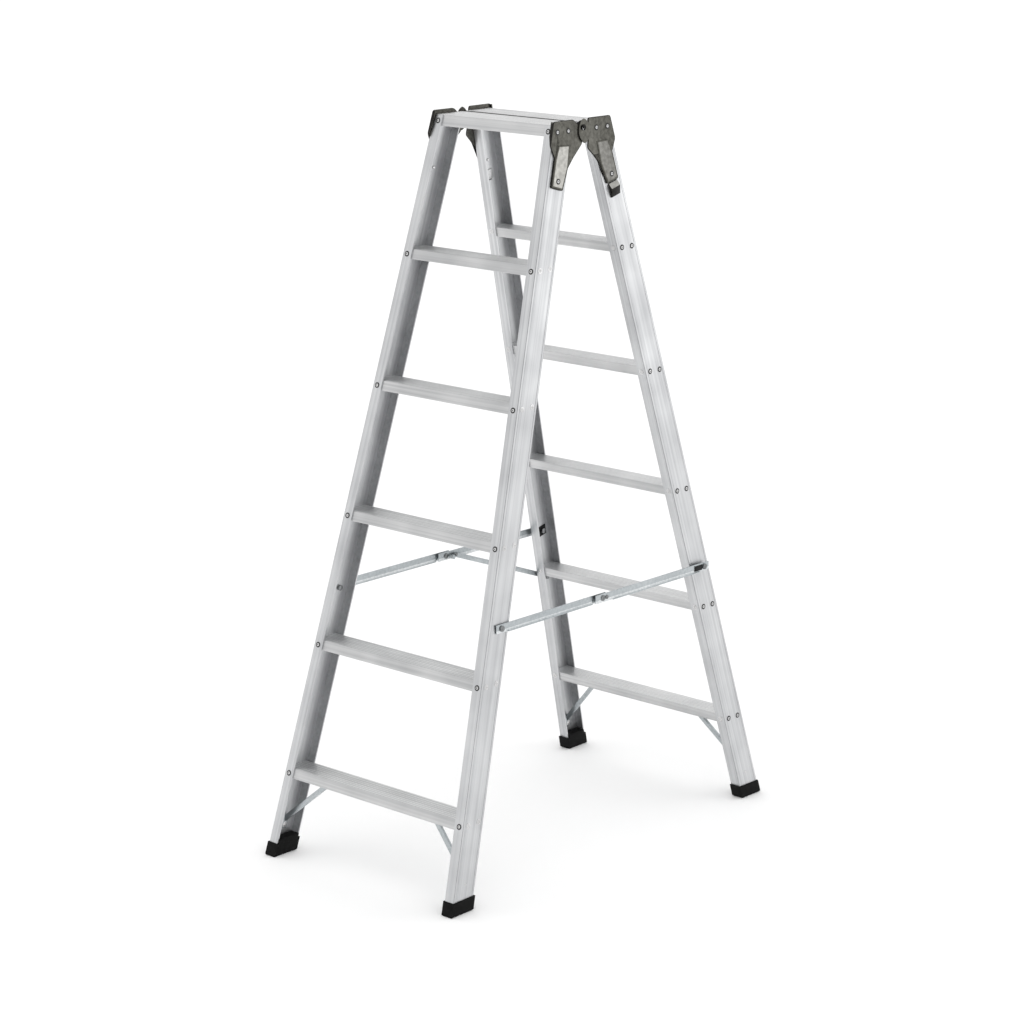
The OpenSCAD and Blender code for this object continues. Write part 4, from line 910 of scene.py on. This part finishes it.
class TRESTLE_OT_rivets(bpy.types.Operator):
    """Models a domed blind rivet for each grip and sets a copy at every place"""

    bl_idname = "trestle.rivets"
    bl_label = "Blind rivets"
    mandrel_slot, seam_slot = 1, 2

    def execute(self, context):
        masters = {}
        for front, rows in ((True, FRONT_ROWS), (False, REAR_ROWS)):
            end = side_words(front, True)[0]
            for kind, places in self.places(rows).items():
                name = f"{end}_{kind}_rivets"
                copies = []
                for right in (True, False):
                    for in_web, spot, axis, grip in places:
                        if grip not in masters:
                            masters[grip] = self.model(context.scene.trestle_sizes, grip)
                        copies.append((masters[grip], self.turned(front, right, in_web, spot, axis)))
                piece = self.set_copies(name, copies)
                if (end, kind) in UNSHADED_RIVETS:
                    # These rivets get no painted shade at the seam
                    for slot in (self.mandrel_slot, self.seam_slot):
                        piece.data.materials[slot] = finish_of("bright_blind_rivet")
                stand_for(piece, name)
        for master in masters.values():
            bpy.data.objects.remove(master)
        return {"FINISHED"}

    def rings(self, sizes, grip):
        """Radius and height of each ring of a rivet, from the blind end to the bottom of the hole."""
        shank, hole, tall = sizes.shank_radius, sizes.mandrel_radius, sizes.rivet_height
        low, brim = -grip * MM, sizes.rivet_radius + sizes.rivet_seam
        if grip == FLUSH_GRIP:
            made = [(shank, low)]
        else:
            set_edge = (sizes.set_radius, low - SET_SHARE * sizes.set_length)
            made = [(shank, low - sizes.set_length), set_edge, (sizes.set_radius, low), (shank, low)]
        made += [(shank, 0.0), (brim, 0.0), (brim, tall * SEAM_RISE)]
        made += [(sizes.rivet_radius * share, tall * rise) for share, rise in HEAD_PROFILE]
        made += [(hole * HOLE_MOUTH, tall), (hole, tall - HOLE_EDGE_MM * MM)]
        return made + [(hole * HOLE_TAPER, tall - sizes.mandrel_depth)]

    def model(self, sizes, grip):
        """One rivet seated on Z 0: blind end, shank, seam, dome and the mandrel's hole."""
        (radius, height), *rings = self.rings(sizes, grip)
        bpy.ops.object.select_all(action="DESELECT")
        bpy.ops.mesh.primitive_circle_add(
            vertices=RIVET_SIDES, radius=radius, fill_type="NGON", location=(0, 0, 0)
        )
        master = bpy.context.object
        for finish in finishes_of(("bright_blind_rivet", "steel_mandrel", "painted_shade_rivet_rim")):
            master.data.materials.append(finish)
        bpy.ops.object.mode_set(mode="EDIT")
        bpy.ops.mesh.select_all(action="SELECT")
        bpy.ops.transform.translate(value=(0, 0, height))
        for next_radius, next_height in rings:
            bpy.ops.mesh.extrude_region_move(TRANSFORM_OT_translate={"value": (0, 0, next_height - height)})
            grow = next_radius / radius
            bpy.ops.transform.resize(value=(grow, grow, 1), center_override=(0, 0, 0))
            radius, height = next_radius, next_height
        paint(master, lambda face: self.head_slot(face, sizes))
        bpy.ops.mesh.select_all(action="SELECT")
        bpy.ops.mesh.normals_make_consistent(inside=False)
        close()
        return master

    def head_slot(self, face, sizes):
        """The mandrel's dark finish in the hole and the painted shade of the seam."""
        height = face.calc_center_median().z
        reach = max(corner.co.xy.length for corner in face.verts)
        if height > 0 and reach <= sizes.mandrel_radius * HOLE_SLACK:
            return self.mandrel_slot
        seam_top = sizes.rivet_height * HEAD_PROFILE[0][1]
        return self.seam_slot if -SEAT_SLACK * MM < height < seam_top else None

    def places(self, rows):
        """For each kind: whether a spot is in a web's frame, the spot, the way the head faces, the grip."""
        out, ahead, back, inside, down = (1, 0, 0), (0, -1, 0), (0, 1, 0), (-1, 0, 0), (0, 0, -1)
        pair = (MIDDLE_DEPTH - WEB_RIVET_SPREAD, MIDDLE_DEPTH + WEB_RIVET_SPREAD)
        web = [
            (True, (0, depth - FACE_REACH, row(depth, height)), out, WEB_GRIP)
            for height in rows for depth in pair
        ]
        flange = [
            (True, (-FLANGE_RIVET_INSET, depth - FACE_REACH, row(depth, height)), way, FLANGE_GRIP)
            for depth, way in ((0, ahead), (STILE_DEPTH, back)) for height in rows
        ]
        on_tread = (-TREAD_RIVET_INSET, -FACE_REACH, row(0, TREAD_MIDDLE))
        flange.append((True, on_tread, ahead, TREAD_GRIP))
        plate = [
            (True, (PLATE_THICK, depth - FACE_REACH, risen(depth, -PLATE_RIVET_DROP)), out, PLATE_GRIP)
            for depth in PLATE_RIVET_DEPTHS
        ]
        on_panel = (PLATE_THICK + PANEL_HEIGHT, PANEL_RIVET_DEPTH - FACE_REACH, -PANEL_RIVET_DOWN)
        plate.append((True, on_panel, out, PANEL_GRIP))
        low = rows[0] - RUNG_HALF
        narrowing = along(MIDDLE_DEPTH, rows[0]) * math.tan(FLARE)
        reach = TOP_WIDTH / 2 - STRUT_REACH / math.cos(FLARE) - narrowing
        under_rung = (reach, depth_y(MIDDLE_DEPTH, low), low - STRUT_SEAT)
        on_web = (-STILE_WALL - STRUT_SEAT, MIDDLE_DEPTH - FACE_REACH, row(MIDDLE_DEPTH, STRUT_FOOT))
        strut = [(False, under_rung, down, STRUT_GRIP), (True, on_web, inside, FLUSH_GRIP)]
        return {"web": web, "flange": flange, "plate": plate, "strut": strut}

    def turned(self, front, right, in_web, spot, axis):
        """The place of one rivet in the ladder's frame."""
        held = stile_frame(front, right) if in_web else mirrored(front, right)
        turn = Vector((0, 0, 1)).rotation_difference(Vector(axis)).to_matrix().to_4x4()
        return held @ Matrix.Translation(Vector(spot) * MM) @ turn

    def set_copies(self, name, spots):
        """Copies the rivets to their places and joins one group into a piece."""
        bpy.ops.object.select_all(action="DESELECT")
        copies = []
        for master, spot in spots:
            mesh = master.data.copy()
            mesh.transform(spot)
            made = bpy.data.objects.new(name + "_piece", mesh)
            bpy.context.scene.collection.objects.link(made)
            made.select_set(True)
            copies.append(made)
        bpy.context.view_layer.objects.active = copies[0]
        bpy.ops.object.join()
        piece = copies[0]
        edit(piece)
        bpy.ops.mesh.select_all(action="SELECT")
        bpy.ops.mesh.normals_make_consistent(inside=False)
        close()
        return piece


class TRESTLE_OT_stage(bpy.types.Operator):
    """Sets the white floor, the soft studio light and the camera"""

    bl_idname = "trestle.stage"
    bl_label = "Stage"

    def execute(self, context):
        self.floor()
        self.world(context.scene)
        self.lamp(context.scene)
        self.camera(context.scene)
        context.scene.view_settings.view_transform = "Standard"
        return {"FINISHED"}

    def floor(self):
        """A wide sheet of matt white paper, which keeps the shadow."""
        bpy.ops.object.select_all(action="DESELECT")
        bpy.ops.mesh.primitive_plane_add(size=FLOOR_SIZE)
        plane = bpy.context.object
        plane.name = "floor"
        made, tree, output = new_material("white_paper_floor")
        shader = add_node(tree, "ShaderNodeBsdfPrincipled", {
            "Base Color": linear("#ffffff"), "Roughness": 0.95, "Specular IOR Level": 0.0,
        })
        tree.links.new(shader.outputs["BSDF"], output.inputs["Surface"])
        plane.data.materials.append(made)

    def world(self, scene):
        """A white surround, a little brighter as light than as it is seen."""
        sky = bpy.data.worlds.new("studio")
        scene.world = sky
        sky.use_nodes = True
        tree = sky.node_tree
        tree.nodes.clear()
        output = add_node(tree, "ShaderNodeOutputWorld")
        path = add_node(tree, "ShaderNodeLightPath")
        seen = path.outputs["Is Camera Ray"]
        for ray in ("Is Transmission Ray", "Is Glossy Ray"):
            seen = add_node(tree, "ShaderNodeMath", {0: seen, 1: path.outputs[ray]}, operation="MAXIMUM")
        white = linear("#ffffff")
        light = add_node(tree, "ShaderNodeBackground", {"Color": white, "Strength": SKY_LIGHT})
        view = add_node(tree, "ShaderNodeBackground", {"Color": white, "Strength": SKY_SEEN})
        mixed = add_node(tree, "ShaderNodeMixShader", {0: seen, 1: light, 2: view})
        tree.links.new(mixed.outputs["Shader"], output.inputs["Surface"])

    def lamp(self, scene):
        """A soft box behind on the right, which the upper webs reflect."""
        soft = bpy.data.lights.new("side_light", "AREA")
        soft.energy, soft.size = LAMP_POWER, LAMP_SIZE
        held = bpy.data.objects.new("side_light", soft)
        scene.collection.objects.link(held)
        held.location = LAMP_PLACE
        held.rotation_euler = (Vector(LAMP_AIM) - held.location).to_track_quat("-Z", "Y").to_euler()

    def camera(self, scene):
        """The camera at the photograph's viewing angle."""
        lens = bpy.data.cameras.new("camera")
        lens.sensor_width, lens.lens = CAMERA_SENSOR, CAMERA_LENS
        lens.clip_end = CAMERA_REACH
        held = bpy.data.objects.new("camera", lens)
        scene.collection.objects.link(held)
        held.location = CAMERA_PLACE
        held.rotation_euler = [math.radians(turn) for turn in CAMERA_TURN]
        scene.camera = held


class TRESTLE_PT_panel(bpy.types.Panel):
    """Lists the trestle's settings and steps"""

    bl_idname = "TRESTLE_PT_panel"
    bl_label = "Trestle Ladder"
    bl_space_type = "VIEW_3D"
    bl_region_type = "UI"
    bl_category = "Trestle"

    def draw(self, context):
        """Draws a button for each step and a field for each setting."""
        for step in STEPS:
            self.layout.operator(step.bl_idname)
        for group in (context.scene.trestle_sizes, context.scene.trestle_colours):
            for name in group.bl_rna.properties.keys():
                if name not in ("rna_type", "name"):
                    self.layout.prop(group, name)


STEPS = (
    TRESTLE_OT_stiles, TRESTLE_OT_steps, TRESTLE_OT_boots, TRESTLE_OT_plates,
    TRESTLE_OT_stays, TRESTLE_OT_bolts, TRESTLE_OT_rivets, TRESTLE_OT_stage,
)
CLASSES = (TrestleSizes, TrestleColours, *STEPS, TRESTLE_PT_panel)


def register():
    """Adds the classes and the scene's settings."""
    for made in CLASSES:
        bpy.utils.register_class(made)
    bpy.types.Scene.trestle_sizes = PointerProperty(type=TrestleSizes)
    bpy.types.Scene.trestle_colours = PointerProperty(type=TrestleColours)


def unregister():
    """Takes the settings and the classes away again."""
    del bpy.types.Scene.trestle_colours
    del bpy.types.Scene.trestle_sizes
    for made in reversed(CLASSES):
        bpy.utils.unregister_class(made)


def main():
    """Runs all steps in order."""
    register()
    bpy.ops.trestle.stiles()
    bpy.ops.trestle.steps()
    bpy.ops.trestle.boots()
    bpy.ops.trestle.plates()
    bpy.ops.trestle.stays()
    bpy.ops.trestle.bolts()
    bpy.ops.trestle.rivets()
    bpy.ops.trestle.stage()


if __name__ == "__main__":
    main()
